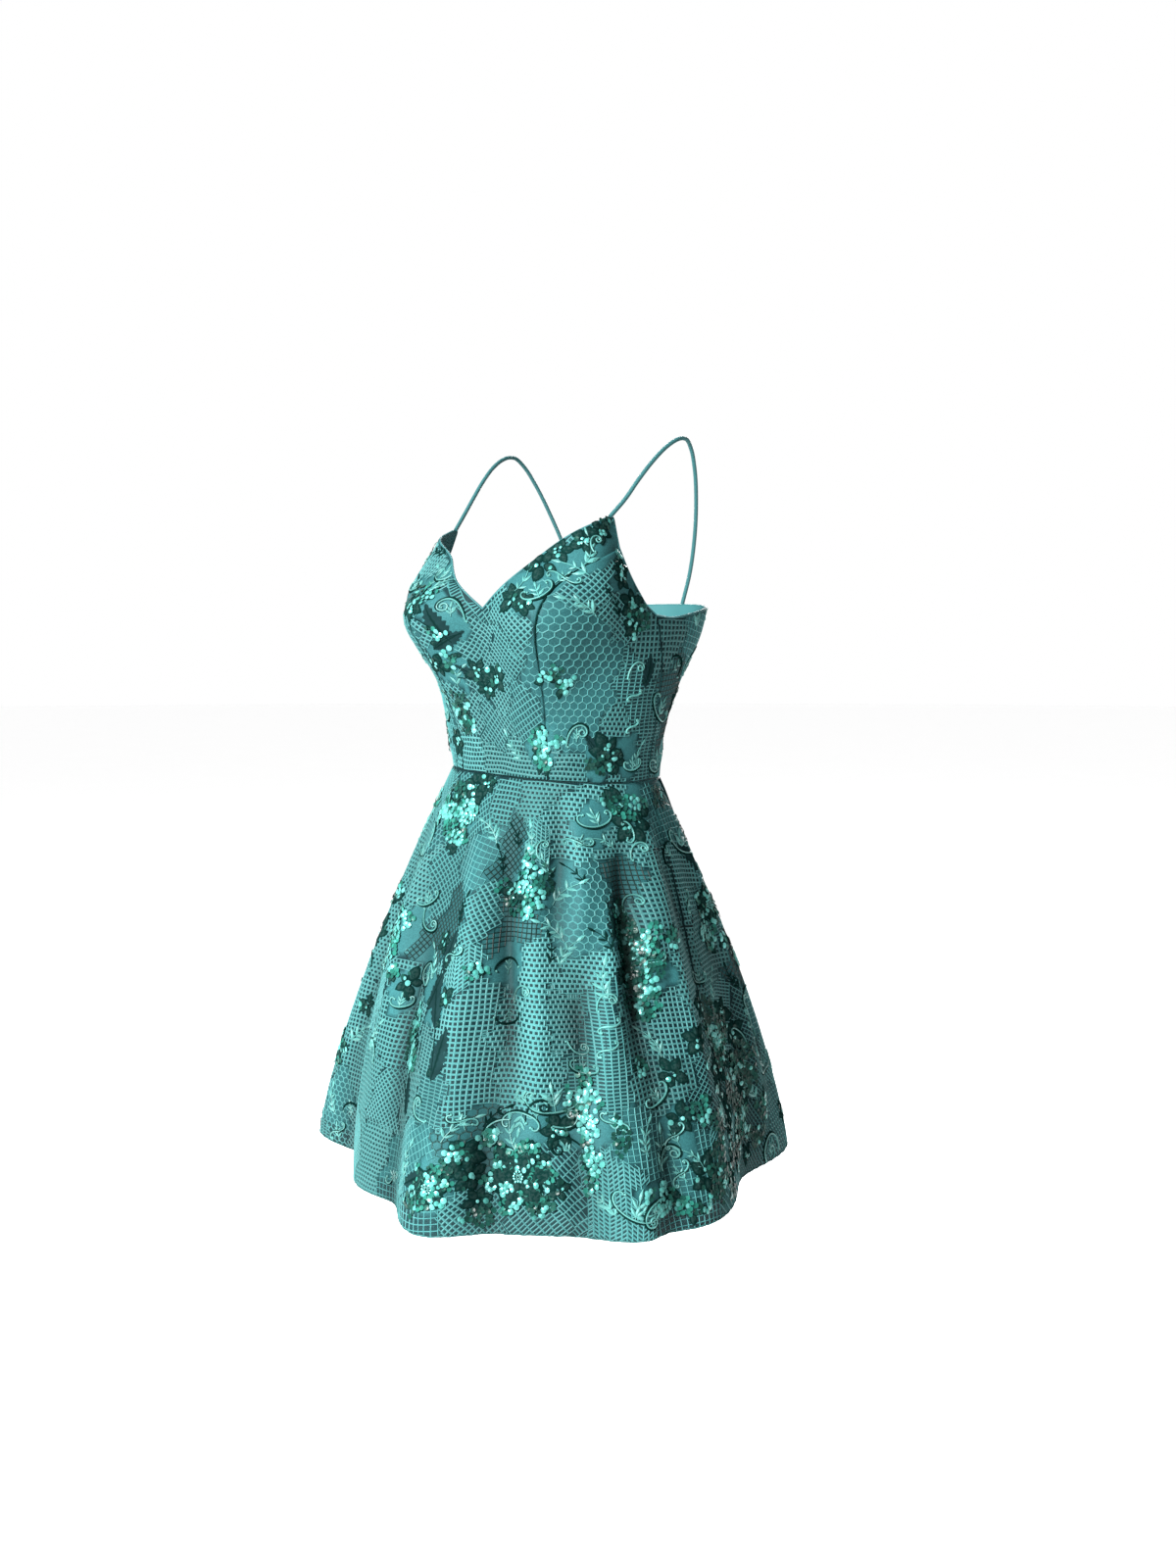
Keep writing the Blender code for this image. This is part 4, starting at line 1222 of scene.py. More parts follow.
# What lies on the cloth: turn and run of its middle, kind, width and length in mm, and degrees it is turned
Motif = namedtuple("Motif", "turn run kind width length angle", defaults=(0,))
MOTIFS = table(Motif,
    # Sequin clusters and flowers of the skirt
    (-21, 50, "bright", 44, 41), (-17, 68, "bright", 24, 17), (-33, 44, "bright", 20, 27),
    (-17, 14, "bloom", 38, 32), (-8, 12, "bloom", 25, 25, 30), (-28, 20, "dark", 30, 19),
    (-24, 30, "bloom", 28, 25), (74, 24, "green", 42, 22), (75, 42, "bloom", 38, 30),
    (68, 20, "dark", 22, 16), (-33, 166, "bright", 34, 40, 20), (-36, 190, "bright", 44, 44, 10),
    (-44, 178, "dark", 19, 30), (-56, 190, "bright", 15, 20), (-27, 214, "green", 15, 15),
    (-20, 222, "bloom", 28, 30), (12, 194, "bright", 18, 16), (27, 84, "bright", 12, 27, 10),
    (26, 104, "bright", 20, 22), (30, 118, "bright", 17, 20), (20, 117, "bloom", 28, 28),
    (15, 110, "green", 12, 10), (33, 101, "dark", 19, 27), (27, 132, "bright", 12, 17),
    (22, 128, "dark", 22, 16), (-11, 262, "bright", 20, 34), (-9, 290, "bright", 22, 34, 5),
    (-14, 276, "dark", 14, 40), (10, 397, "flower", 46, 46), (20, 410, "bloom", 24, 22),
    (29, 385, "flower", 76, 76, 20), (38, 394, "bloom", 26, 25), (15, 364, "bright", 18, 16),
    # The narrow bright clusters at turn 45, runs 300 to 376, make a column of lit sequins along a fold's ridge,
    # a painted highlight
    (21, 352, "green", 18, 15), (45, 300, "bright", 15, 44), (45, 338, "bright", 16, 56),
    (45.5, 376, "bright", 15, 41), (41, 322, "green", 10, 38), (62, 410, "bright", 32, 24),
    (57, 398, "bright", 12, 12), (66, 420, "green", 20, 15), (60, 132, "bright", 10, 17),
    (66, 160, "bright", 20, 22), (72, 148, "green", 12, 15), (78, 158, "green", 15, 20),
    (62, 172, "dark", 19, 54), (64, 204, "green", 22, 20), (62, 222, "dark", 24, 32),
    (68, 212, "bright", 10, 10), (96, 284, "green", 38, 32), (103, 258, "bloom", 38, 35),
    (98, 300, "bloom", 32, 30), (92, 272, "bright", 12, 12), (106, 391, "bright", 22, 17),
    (117, 366, "bright", 17, 12), (116, 376, "dark", 27, 19), (72, 393, "bloom", 38, 35),
    (80, 404, "green", 20, 20), (88, 330, "bloom", 30, 30), (84, 318, "bright", 12, 10),
    (110, 330, "dark", 30, 24), (16, 368, "bloom", 35, 32), (38, 341, "bloom", 35, 30),
    (33, 366, "bloom", 32, 30), (30, 358, "green", 15, 12), (52, 344, "dark", 14, 35),
    (48, 312, "bright", 7, 12),
    # More of the dark flowers and green sequins near the hem, at the wearer's left and behind
    (63, 152, "dark", 24, 46), (66, 190, "dark", 30, 40), (69, 172, "green", 22, 28),
    (60, 196, "bloom", 26, 26), (66, 226, "green", 20, 22), (21, 424, "dark", 28, 18),
    (34, 410, "dark", 26, 22), (18, 386, "bloom", 24, 26), (6, 414, "dark", 20, 18),
    (92, 306, "bloom", 34, 32), (104, 318, "green", 30, 26), (97, 336, "dark", 34, 28),
    (108, 350, "bloom", 32, 30), (90, 370, "bloom", 32, 28), (100, 384, "green", 30, 24),
    (112, 402, "dark", 30, 22), (94, 410, "bloom", 30, 26), (84, 424, "dark", 28, 16),
    (78, 376, "dark", 22, 26), (70, 424, "bright", 14, 10), (75, 414, "dark", 26, 20),
    (66, 352, "s", 22, 34, 20), (62, 366, "sprig", 18, 34, -30), (68, 336, "bloom", 28, 26),
    (64, 372, "curl", 18, 20), (58, 350, "sprig", 16, 30, 20), (65, 262, "sprig", 16, 31),
    (68, 292, "bloom", 28, 28), (63, 312, "c", 26, 30, 30), (60, 284, "bright", 14, 18),
    (74, 332, "green", 20, 24), (78, 262, "bloom", 30, 28), (82, 286, "s", 20, 30),
    (86, 236, "bloom", 30, 28), (93, 250, "dark", 26, 32), (88, 264, "green", 24, 24),
    (101, 270, "dark", 30, 30), (94, 292, "dark", 30, 26), (109, 282, "bloom", 30, 28),
    (86, 304, "bloom", 28, 28), (111, 306, "dark", 32, 28), (101, 352, "dark", 34, 28),
    (92, 350, "bloom", 30, 28), (106, 368, "green", 28, 26), (98, 398, "dark", 36, 26),
    (88, 390, "dark", 28, 28), (106, 416, "bloom", 28, 24), (80, 350, "dark", 26, 32),
    (76, 396, "dark", 28, 24), (84, 406, "bloom", 28, 24), (112, 334, "dark", 26, 30),
    # Dark leaf sprays
    (-1, 200, "spray", 23, 85, -6), (2, 254, "spray", 23, 97, 4), (-17, 66, "spray", 16, 34, 60),
    (-9, 332, "spray", 16, 39, 20), (57, 138, "spray", 14, 41, -10), (6, 392, "spray", 16, 39, -50),
    (-5, 172, "bloom", 22, 20), (4, 222, "bloom", 22, 22), (12, 380, "dark", 22, 16),
    # Scrolls of cord
    (57, 36, "c", 30, 32, 20), (48, 60, "s", 21, 31, -30), (75, 70, "curl", 16, 16),
    (72, 50, "c", 19, 22, 90), (-38, 72, "curl", 18, 20), (-22, 135, "c", 22, 27, 20),
    (-18, 156, "curl", 18, 20, 180), (3, 180, "s", 21, 34), (51, 330, "s", 21, 36), (45, 281, "c", 22, 30),
    (52, 240, "s", 17, 31), (51, 262, "s", 17, 31, 8), (52, 218, "curl", 15, 18),
    (-46, 300, "ring", 36, 41), (-44, 336, "c", 40, 46, 180), (-21, 242, "c", 22, 24),
    (-12, 210, "ring", 22, 34), (-9, 414, "s", 23, 31, 60), (54, 410, "c", 40, 46, -20),
    (58, 418, "curl", 20, 22, 90), (37, 312, "c", 44, 36, 10), (29, 333, "c", 32, 35, 170),
    (33, 322, "dark_curl", 19, 22), (23, 345, "curl", 22, 22, 90), (21, 188, "dark_crescent", 21, 32),
    (23, 238, "dark_crescent", 21, 32, 180), (27, 214, "curl", 15, 18), (44, 262, "curl", 15, 18, 200),
    (15, 334, "s", 20, 31, 20), (3, 330, "curl", 18, 20, 90), (40, 356, "dark_curl", 22, 22, 40),
    (40, 330, "curl", 18, 18, 250), (32, 68, "curl", 12, 15, 20), (-50, 392, "c", 30, 35, 20),
    (-30, 300, "curl", 18, 20), (85, 352, "c", 30, 32, -20), (104, 330, "s", 23, 34, 10),
    (92, 210, "c", 24, 30), (111, 290, "c", 24, 30, 120), (68, 124, "curl", 16, 19), (70, 182, "s", 18, 31),
    (-54, 96, "c", 19, 24), (66, 388, "s", 21, 29, 30),
    # Light and dark sprigs
    (5, 56, "sprig", 16, 31, 20), (27, 64, "sprig", 16, 31, -20), (33, 84, "sprig", 16, 34),
    (41, 112, "sprig", 17, 36, -30), (37, 150, "sprig", 16, 31, 30), (41, 172, "sprig", 16, 34, -10),
    (52, 200, "sprig", 17, 36, 30), (-9, 196, "sprig", 16, 31, 10), (14, 341, "sprig", 16, 34, -20),
    (27, 350, "sprig", 18, 34, 40), (-30, 286, "sprig", 18, 36), (56, 414, "sprig", 18, 34, -60),
    (85, 340, "sprig", 18, 34, 20), (22, 330, "dark_sprig", 15, 30, -30), (-52, 120, "sprig", 16, 31, 20),
    (-60, 310, "sprig", 17, 34, -20), (34, 392, "sprig", 16, 29, 200), (1, 384, "sprig", 17, 34, 30),
    (70, 376, "sprig", 16, 31, 10), (30, 310, "sprig", 16, 29, -60), (48, 408, "sprig", 16, 29, 20),
    (60, 60, "sprig", 14, 26, 30), (112, 350, "sprig", 17, 34, 20), (100, 226, "sprig", 17, 34, -10),
    (90, 250, "sprig", 16, 31, 40), (13, 86, "dark_sprig", 14, 25), (2, 138, "dark_sprig", 14, 28, 20),
    (19, 60, "dark_sprig", 12, 22), (36, 170, "dark_sprig", 14, 25, -20),
    (46, 92, "dark_sprig", 12, 22, 20), (54, 158, "dark_sprig", 14, 25),
    # Bodice
    (-28, -184, "bright", 21, 21), (-31, -172, "bloom", 30, 28), (-36, -184, "dark", 16, 22),
    (-22, -150, "spray", 18, 39, 30), (-18, -138, "spray", 16, 32, -40), (-20, -146, "bright", 15, 11),
    (-19, -124, "bright", 13, 11), (-20, -111, "green", 11, 10), (-27, -112, "bloom", 22, 22),
    (-8, -107, "bloom", 30, 25), (3, -101, "bloom", 28, 22), (-5, -90, "bloom", 22, 20),
    (6, -112, "bright", 7, 6), (-12, -98, "spray", 14, 30, 70), (-22, -60, "bloom", 22, 22),
    (-23, -72, "dark", 19, 27), (-33, -80, "bright", 10, 12), (-28, -66, "bright", 10, 10),
    (-18, -52, "bright", 10, 10), (-24, -48, "dark", 16, 16), (21, -178, "bloom", 28, 25),
    (26, -172, "bloom", 20, 20), (32, -211, "bloom", 30, 25), (40, -224, "bloom", 22, 20),
    (51, -234, "bloom", 28, 20), (60, -243, "bloom", 25, 18), (64, -250, "dark", 14, 11),
    (66.5, -218, "bright", 10, 10), (67, -206, "bloom", 20, 20), (66, -196, "bloom", 20, 20),
    (71, -174, "bloom", 25, 25), (71, -166, "bright", 13, 15), (73, -152, "bloom", 22, 22),
    (74, -146, "bright", 9, 9), (77, -158, "dark", 14, 24), (35, -104, "bright", 17, 12),
    (42, -97, "bright", 17, 15), (38, -110, "green", 12, 10), (30, -48, "bright", 15, 15),
    (31, -34, "bright", 20, 17), (31.5, -20, "green", 18, 18), (26, -40, "green", 10, 10),
    (40, -40, "bright", 11, 9), (65, -30, "bloom", 40, 32), (61, -18, "dark", 32, 16),
    (70, -22, "bloom", 22, 20), (58, -34, "spray", 14, 30, 60), (-28, -206, "c", 22, 24),
    (-14, -168, "curl", 20, 20), (31, -184, "c", 24, 27, 20), (41, -197, "s", 21, 29, -50),
    (52, -221, "sprig", 17, 31, -50), (49, -46, "curl", 19, 19), (81, -18, "c", 20, 24),
    (77, -86, "s", 13, 26), (78, -56, "s", 13, 26, 10), (76, -110, "curl", 14, 15),
    (-33, -204, "sprig", 14, 26, 10), (48, -170, "sprig", 16, 29, 30), (12, -28, "sprig", 16, 31, 60),
    (-19, -100, "sprig", 13, 23), (46, -206, "sprig", 14, 26, 40), (-40, -160, "sprig", 14, 26),
    (-24, -196, "sprig", 14, 23, -40), (24, -194, "sprig", 14, 23, -50), (56, -230, "curl", 12, 12, 20),
    (-44, -196, "c", 19, 22, 10), (-38, -120, "s", 14, 26), (84, -24, "sprig", 14, 26, 30),
    (62, -170, "dark_sprig", 14, 25), (84, -108, "spray", 14, 30), (-36, -30, "bloom", 28, 25),
    (-44, -58, "c", 19, 24, 30))

# Shares of the kinds that fill the hidden sides in the same manner
HIDDEN_MOTIFS = ("bright", "bloom", "c", "sprig", "s", "bloom", "spray", "sprig", "curl", "green", "flower",
                 "dark_sprig", "ring", "bloom", "bright", "dark_crescent", "sprig", "dark")
HIDDEN_SIZES = {"bright": (25, 28), "bloom": (32, 30), "c": (34, 36), "sprig": (17, 34), "s": (22, 36),
                "spray": (20, 60), "curl": (19, 20), "green": (26, 24), "flower": (56, 56),
                "dark_sprig": (15, 28), "ring": (26, 32), "dark_crescent": (22, 32), "dark": (24, 28)}
# Between these turns every motif is listed
SEEN_ON_SKIRT = (-52, 88)
SEEN_ON_BODICE = (-34, 82)
MOTIFS_APART = 30.0


def hidden_motifs(skirt):
    chance = np.random.default_rng(21 if skirt else 22)
    runs = np.arange(14, 432, 27) if skirt else np.arange(-240, -8, 24)
    low, high = SEEN_ON_SKIRT if skirt else SEEN_ON_BODICE
    for turn, run in uneven_grid(chance, skirt, runs, 177, 31, 9):
        kind = HIDDEN_MOTIFS[int(chance.integers(len(HIDDEN_MOTIFS)))]
        wide, long = (size * float(chance.uniform(0.8, 1.2)) for size in HIDDEN_SIZES[kind])
        angle = float(chance.uniform(-70, 70))
        if not low < turn < high:
            yield Motif(turn, run, kind, wide, long, angle)


class Stock:
    """Small parts and lines of one region, by kind, with their places on the flat cloth."""

    def __init__(self, area, seed):
        self.area = area
        self.parts = {}
        self.lines = {}
        self.chance = np.random.default_rng(seed)
        self.uniform = self.chance.uniform

    def place(self, motif):
        """Lay what follows about this motif's middle."""
        self.spot = np.array(self.area.flat(motif.turn, motif.run))
        cone = radians(motif.turn) * CONE_SHARE if motif.run >= 0 else 0.0
        self.heading = cone + radians(motif.angle)

    def to_flat(self, x, y):
        turned_x, turned_y = rotated(x, y, self.heading)
        return self.spot[0] + turned_x, self.spot[1] + turned_y

    def part(self, kind, x, y, heading, size, tone, lift=0.5, tilt=6.0):
        row = (*self.to_flat(x, y), heading + self.heading, size, tone, lift, tilt)
        self.parts.setdefault(kind, []).append(row)

    def line(self, kind, path, lift=0.6, swell=None):
        """A line along a path; swell is its share of the full thickness at each point."""
        swell = np.ones(len(path)) if swell is None else swell
        self.lines.setdefault(kind, []).append((*self.to_flat(path[:, 0], path[:, 1]), lift, swell))


def bent_line(length, curvature, sweep, steps):
    """A line from the origin up the cloth, that turns by a sweep in all, shared out by its curvature."""
    share = (np.arange(steps) + 0.5) / steps
    bend = curvature(share)
    heading = np.cumsum(bend) / np.abs(bend).sum() * sweep
    step = length / steps
    path = np.column_stack([-np.sin(heading), np.cos(heading)]) * step
    return np.vstack([[0, 0], np.cumsum(path, axis=0)]), np.append(heading, heading[-1])


def fitted(path, width, length):
    """The path moved to the origin and scaled to a size."""
    low, high = path.min(axis=0), path.max(axis=0)
    scale = min(width / max(high[0] - low[0], 1e-6), length / max(high[1] - low[1], 1e-6))
    return (path - (low + high) / 2) * scale


# Curvature of each scroll at a share of its length, and how many times it turns round in all
SCROLLS = {
    "c": (lambda s: 0.5 + 7 * np.abs(2 * s - 1) ** 3, 1.45),
    "s": (lambda s: (0.4 + 7 * np.abs(2 * s - 1) ** 3) * np.sign(s - 0.5), 1.5),
    "curl": (lambda s: 0.3 + 5 * s**2, 1.55),
    "ring": (lambda s: 0.9 + 1.6 * s**4, 1.35),
    "crescent": (lambda s: 1 + 2.5 * np.abs(2 * s - 1) ** 3, 0.575),
}
SCROLL_SIZE = 1.15
# The dark crescent beside a wider light scroll is a painted shadow of its cord
SHADOW_POINTS = slice(3, 35)  # the scroll's points that have a dark crescent beside them
SHADOW_AWAY = 1.7
SHADOWED_WIDTH = 17  # mm; wider scrolls have such a crescent
LEAFY_WIDTH = 19  # mm; scrolls from this width on have leaves inside


def add_scroll(stock, motif):
    """A curled cord, beside it a dark crescent that paints the cord's shadow, and a few leaves within the
    larger ones.
    """
    dark = motif.kind.startswith("dark_")
    curvature, rounds = SCROLLS[motif.kind.replace("dark_", "")]
    flip = -1 if stock.chance.random() < 0.4 else 1
    path, _ = bent_line(100.0, curvature, 2 * pi * rounds, 44)
    path = fitted(path, motif.width * SCROLL_SIZE, motif.length * SCROLL_SIZE) * np.array([flip, 1])
    swell = 0.3 + 1.1 * np.sin(np.linspace(0, pi, len(path))) ** 0.8
    stock.line("cord_dark" if dark else "cord_light", path, 0.6, swell if dark else None)
    # Painted shadow: a dark crescent of cord beside the wider light scrolls
    if not dark and motif.width > SHADOWED_WIDTH:
        middle = path.mean(axis=0)
        outward = (path - middle) / np.maximum(np.linalg.norm(path - middle, axis=1, keepdims=True), 1e-6)
        beside = (path + outward * SHADOW_AWAY)[SHADOW_POINTS]
        stock.line("cord_dark", beside, 0.3, 0.2 + 1.1 * np.sin(np.linspace(0, pi, len(beside))))
    for end, before in ((path[0], path[1]), (path[-1], path[-2])):
        stock.part("knot", *end, atan2(*(end - before)[::-1]), 3.0, 0.2 if dark else 0.9, 0.5, 0)
    if motif.width >= LEAFY_WIDTH:
        stem = np.column_stack([np.zeros(6), np.linspace(-0.3, 0.22, 6) * motif.length])
        stock.line("stem_light", stem, 0.5)
        for up, side in ((-0.16, -1), (-0.16, 1), (0.0, -1), (0.0, 1), (0.14, 0)):
            size = motif.width * stock.uniform(0.27, 0.36)
            stock.part("leaflet", 0.0, motif.length * up, side * stock.uniform(0.6, 0.95), size, 0.9)


def bent_stem(stock, length, least, most, steps):
    """A stem about the origin that bends evenly to either side, and its heading at each point."""
    bend = stock.uniform(least, most) * stock.chance.choice((-1, 1))
    path, heading = bent_line(length, lambda s: 1 + 0 * s, bend, steps)
    return path - path.mean(axis=0), heading


def add_sprig(stock, motif):
    """A bent stem with pairs of narrow leaves."""
    dark = motif.kind == "dark_sprig"
    path, heading = bent_stem(stock, motif.length, 0.5, 1.1, 14)
    stock.line("stem_dark" if dark else "stem_light", path, 0.5)
    kind = "leaflet_dark" if dark else "leaflet"
    pairs = max(2, round(motif.length / 10.5))
    for k in range(pairs):
        at = int(2 + k * 11 / pairs)
        size = motif.width * 0.64 * (1.1 - 0.3 * k / pairs)
        for side in (-1, 1):
            turned = heading[at] + side * stock.uniform(0.45, 0.95)
            long, tone = size * stock.uniform(0.7, 1.2), stock.uniform(0.7, 1.0)
            stock.part(kind, *path[at], turned, long, tone)
    stock.part(kind, *path[-1], heading[-1], motif.width * 0.7, 0.95)


def add_spray(stock, motif):
    """Large dark serrated leaves, one after another along a bent stem, with a small bud beside each."""
    path, heading = bent_stem(stock, motif.length, 0.2, 0.7, 20)
    stock.line("stem_dark", path, 0.6)
    leaves = max(1, round(motif.length / 42))
    for k in range(leaves):
        at = int(k * 20 / leaves)
        side = 1 if k % 2 else -1
        stock.part("jagged", *path[at], heading[at] + side * stock.uniform(0.0, 0.3),
                   motif.length / leaves * 1.1, 0.5, 0.5)
        bud = path[at] + np.array([side * motif.width * 0.3, 4.0])
        stock.part("petal", *bud, heading[at] + side * 0.9, motif.width * 0.5, 0.3, 0.55)


def add_bloom(stock, motif):
    """A dark flower of oval petals, with a few dark sequins on it and small bright ones near the middle."""
    chance = stock.chance
    petals = int(chance.integers(5, 7))
    first = chance.uniform(0, 2 * pi)
    for k in range(petals):
        heading = first + 2 * pi * k / petals + chance.uniform(-0.16, 0.16)
        size = motif.width * chance.uniform(0.4, 0.64)
        away = motif.width * 0.06
        stock.part("petal", -sin(heading) * away, cos(heading) * away, heading, size, 0.3,
                   0.5 + 0.15 * (k % 2))
    scatter_sequins(stock, motif.width * 0.75, motif.length * 0.75, "dark", 0.13)
    for k in range(int(chance.integers(1, 5))):
        x, y = chance.uniform(-0.18, 0.18, 2) * motif.width
        stock.part("sequin_bright", x, y, 0.0, chance.uniform(2.8, 4.3), chance.uniform(0.2, 1), 1.9, 15.0)


SEQUINS_APART = 0.56  # of their diameter, at least
SEQUINS_OVERLAP = 1.5
BRIGHT_SHARE = {"bright": 0.62, "green": 0.2, "dark": 0.06}
BRIGHT_SIZE = 1.12


def scatter_sequins(stock, width, length, kind, cover=1.0, middle=(0.0, 0.0), lean=0.0):
    """Overlapping sequins in an oval with a wavy outline, the lit ones painted bright mint and the rest dark
    green.
    """
    chance = stock.chance
    full = scene_look().sequin_diameter / MM
    wanted = int(SEQUINS_OVERLAP * cover * width * length / full**2) + 1
    first, second = chance.uniform(0, 6.3, 2)
    placed = []
    for _ in range(wanted * 6):
        angle, share = chance.uniform(0, 2 * pi), sqrt(chance.uniform(0, 1.15))
        reach = share * (1 + 0.22 * sin(3 * angle + first) + 0.15 * sin(5 * angle + second)) / 2
        x, y = width * reach * cos(angle), length * reach * sin(angle)
        if all((x - a) ** 2 + (y - b) ** 2 > (SEQUINS_APART * full) ** 2 for a, b in placed):
            placed.append((x, y))
        if len(placed) >= wanted:
            break
    # Painted glints: a wavy field picks which sequins are painted bright mint, as if catching the light, and
    # the rest dark green, as turned from it
    lit_wave = [sin(x / 6.5 + first) + sin(y / 7.5 + second) + chance.uniform(-0.3, 0.3)
             for x, y in placed]
    least = np.quantile(lit_wave, 1 - BRIGHT_SHARE[kind])
    for (x, y), value in zip(placed, lit_wave):
        turned_x, turned_y = rotated(x, y, lean)
        if value > least:
            name, largest, tone = "sequin_bright", full * BRIGHT_SIZE, chance.uniform(0, 1) ** 1.3
        else:
            name, largest = "sequin_dark", full
            tone = chance.uniform(0.1, 1.0) * (0.3 if kind == "dark" else 1.0)
        stock.part(name, middle[0] + turned_x, middle[1] + turned_y, chance.uniform(0, 6.3),
                   largest * chance.uniform(0.72, 1.0), tone, chance.uniform(0.9, 1.9), 16.0)


def add_flower(stock, motif):
    """A sequin flower: oval petals of sequins round a middle of small pale ones and stamens of thread."""
    first = stock.uniform(0, 1)
    petals = 6
    for k in range(petals):
        heading = first + 2 * pi * k / petals
        stock.part("petal", 0, 0, heading, motif.width * 0.52, 0.3, 0.5 + 0.15 * (k % 2))
        away = motif.width * 0.31
        middle = (-sin(heading) * away, cos(heading) * away)
        kind = "bright" if stock.chance.random() < 0.55 else "green"
        scatter_sequins(stock, motif.width * 0.25, motif.width * 0.36, kind, 1.0, middle, heading)
    for k in range(11):
        angle = 2 * pi * k / 11
        reach = stock.uniform(3.5, 5.5)
        out = np.array([-sin(angle), cos(angle)])
        stock.line("stem_light", np.outer(np.linspace(1.0, reach, 4), out), 0.7)
        stock.part("sequin_bright", *(out * reach), 0.0, 2.0, 0.9, 1.4, 10.0)


def add_cluster(stock, motif):
    """Sequins in a cluster, the lighter ones over a few dark petals."""
    scatter_sequins(stock, motif.width, motif.length, motif.kind)
    if motif.kind != "dark" and motif.width > 12:
        for _ in range(3):
            x, y = stock.uniform(-0.35, 0.35, 2) * motif.width
            stock.part("petal", x, y, stock.uniform(0, 6.3), min(18.0, motif.width * 0.6), 0.3)


ADD_BY_KIND = {"bright": add_cluster, "green": add_cluster, "dark": add_cluster, "flower": add_flower,
               "bloom": add_bloom, "spray": add_spray, "sprig": add_sprig, "dark_sprig": add_sprig}


def add_motif(stock, motif):
    stock.place(motif)
    ADD_BY_KIND.get(motif.kind, add_scroll)(stock, motif)


@cache
def stock_of(skirt):
    stock = Stock(area_of(skirt), 31 if skirt else 32)
    for row in with_hidden(skirt, MOTIFS, hidden_motifs(skirt), MOTIFS_APART)[0]:
        add_motif(stock, row)
    return stock


MOTIFS_TO_TURN = 179.3  # clear of the zip


def on_dress(skirt, x, y, edge):
    """Which points of the flat cloth lie on the dress, clear of the waist, the zip and the outer edges."""
    turn, run = area_of(skirt).unflat(x, y)
    low, high = run_limits(skirt, turn, 2, edge)
    return (run > low) & (run < high) & (np.abs(turn) < MOTIFS_TO_TURN)


def axes_at(area, x, y, heading, tilt, chance):
    """A matrix for each place; its columns point across, along the heading and outwards, a little tilted."""
    turn, run = area.unflat(x, y)
    point, out = skin(area, turn, run)
    right = on_cloth(area, x + 0.6, y) - point
    tip = chance.normal(0, 1, (len(x), 2)) * np.radians(tilt)[:, None] * 0.6
    up = unit(np.cross(out, right))
    right = np.cross(up, out)
    out = unit(out + right * tip[:, :1] + up * tip[:, 1:])
    across = unit(np.cross(up * np.cos(heading)[:, None] - right * np.sin(heading)[:, None], out))
    return np.stack([across, np.cross(out, across), out], axis=-1)


@cache
def scatter_tree():
    """Geometry nodes that put a template's copies on points and join them."""
    tree = bpy.data.node_groups.new("scatter", "GeometryNodeTree")
    for socket, direction, kind in (("Geometry", "INPUT", "Geometry"), ("Template", "INPUT", "Object"),
                                    ("Geometry", "OUTPUT", "Geometry")):
        tree.interface.new_socket(socket, in_out=direction, socket_type="NodeSocket" + kind)
    made = {key: tree.nodes.new(kind) for key, kind in (
        ("start", "NodeGroupInput"), ("end", "NodeGroupOutput"), ("template", "GeometryNodeObjectInfo"),
        ("turning", "GeometryNodeInputNamedAttribute"), ("size", "GeometryNodeInputNamedAttribute"),
        ("rotation", "FunctionNodeEulerToRotation"), ("copies", "GeometryNodeInstanceOnPoints"),
        ("join", "GeometryNodeRealizeInstances"))}
    for key, kind in (("turning", "FLOAT_VECTOR"), ("size", "FLOAT")):
        made[key].data_type = kind
        made[key].inputs["Name"].default_value = key
    for source, out, target, into in (
            ("start", "Geometry", "copies", "Points"), ("start", "Template", "template", "Object"),
            ("template", "Geometry", "copies", "Instance"), ("turning", "Attribute", "rotation", "Euler"),
            ("rotation", "Rotation", "copies", "Rotation"), ("size", "Attribute", "copies", "Scale"),
            ("copies", "Instances", "join", "Geometry"), ("join", "Geometry", "end", "Geometry")):
        tree.links.new(made[source].outputs[out], made[target].inputs[into])
    return tree


def copies(name, template, points, turning, sizes, tones, material):
    """Many copies of a template mesh, joined in one piece; each keeps its tone."""
    cloud = bpy.data.meshes.new(name + "_points")
    cloud.vertices.add(len(points))
    cloud.vertices.foreach_set("co", points.astype(np.float32).ravel())
    turnings = cloud.attributes.new("turning", "FLOAT_VECTOR", "POINT")
    turnings.data.foreach_set("vector", turning.astype(np.float32).ravel())
    set_attribute(cloud, "size", sizes)
    set_attribute(cloud, "tone", tones)
    source, shape = new_object(name + "_points", cloud), new_object(name + "_shape", template)
    modifier = source.modifiers.new("scatter", "NODES")
    modifier.node_group = scatter_tree()
    socket = next(item for item in scatter_tree().interface.items_tree if item.name == "Template")
    modifier[socket.identifier] = shape
    mesh = bpy.data.meshes.new_from_object(source.evaluated_get(bpy.context.evaluated_depsgraph_get()))
    for thing in (source, shape):
        bpy.data.objects.remove(thing, do_unlink=True)
    mesh.materials.clear()
    for key in ("turning", "size"):
        if key in mesh.attributes:
            mesh.attributes.remove(mesh.attributes[key])
    return new_object(name, mesh, material)


def sequin_shape(domed):
    """A thin closed cup, 1 across."""
    bm = bmesh.new()
    for depth in (0.05, 0.13):
        made = bmesh.ops.create_cone(bm, cap_ends=False, segments=8, radius1=0.5, radius2=0.0, depth=depth)
        bmesh.ops.translate(bm, verts=made["verts"], vec=(0, 0, depth / 2))
    bmesh.ops.remove_doubles(bm, verts=bm.verts, dist=0.001)
    if not domed:
        bmesh.ops.rotate(bm, verts=bm.verts, cent=(0, 0, 0), matrix=Matrix.Rotation(pi, 3, "X"))
    bmesh.ops.recalc_face_normals(bm, faces=bm.faces)
    return mesh_from(bm, "sequin")


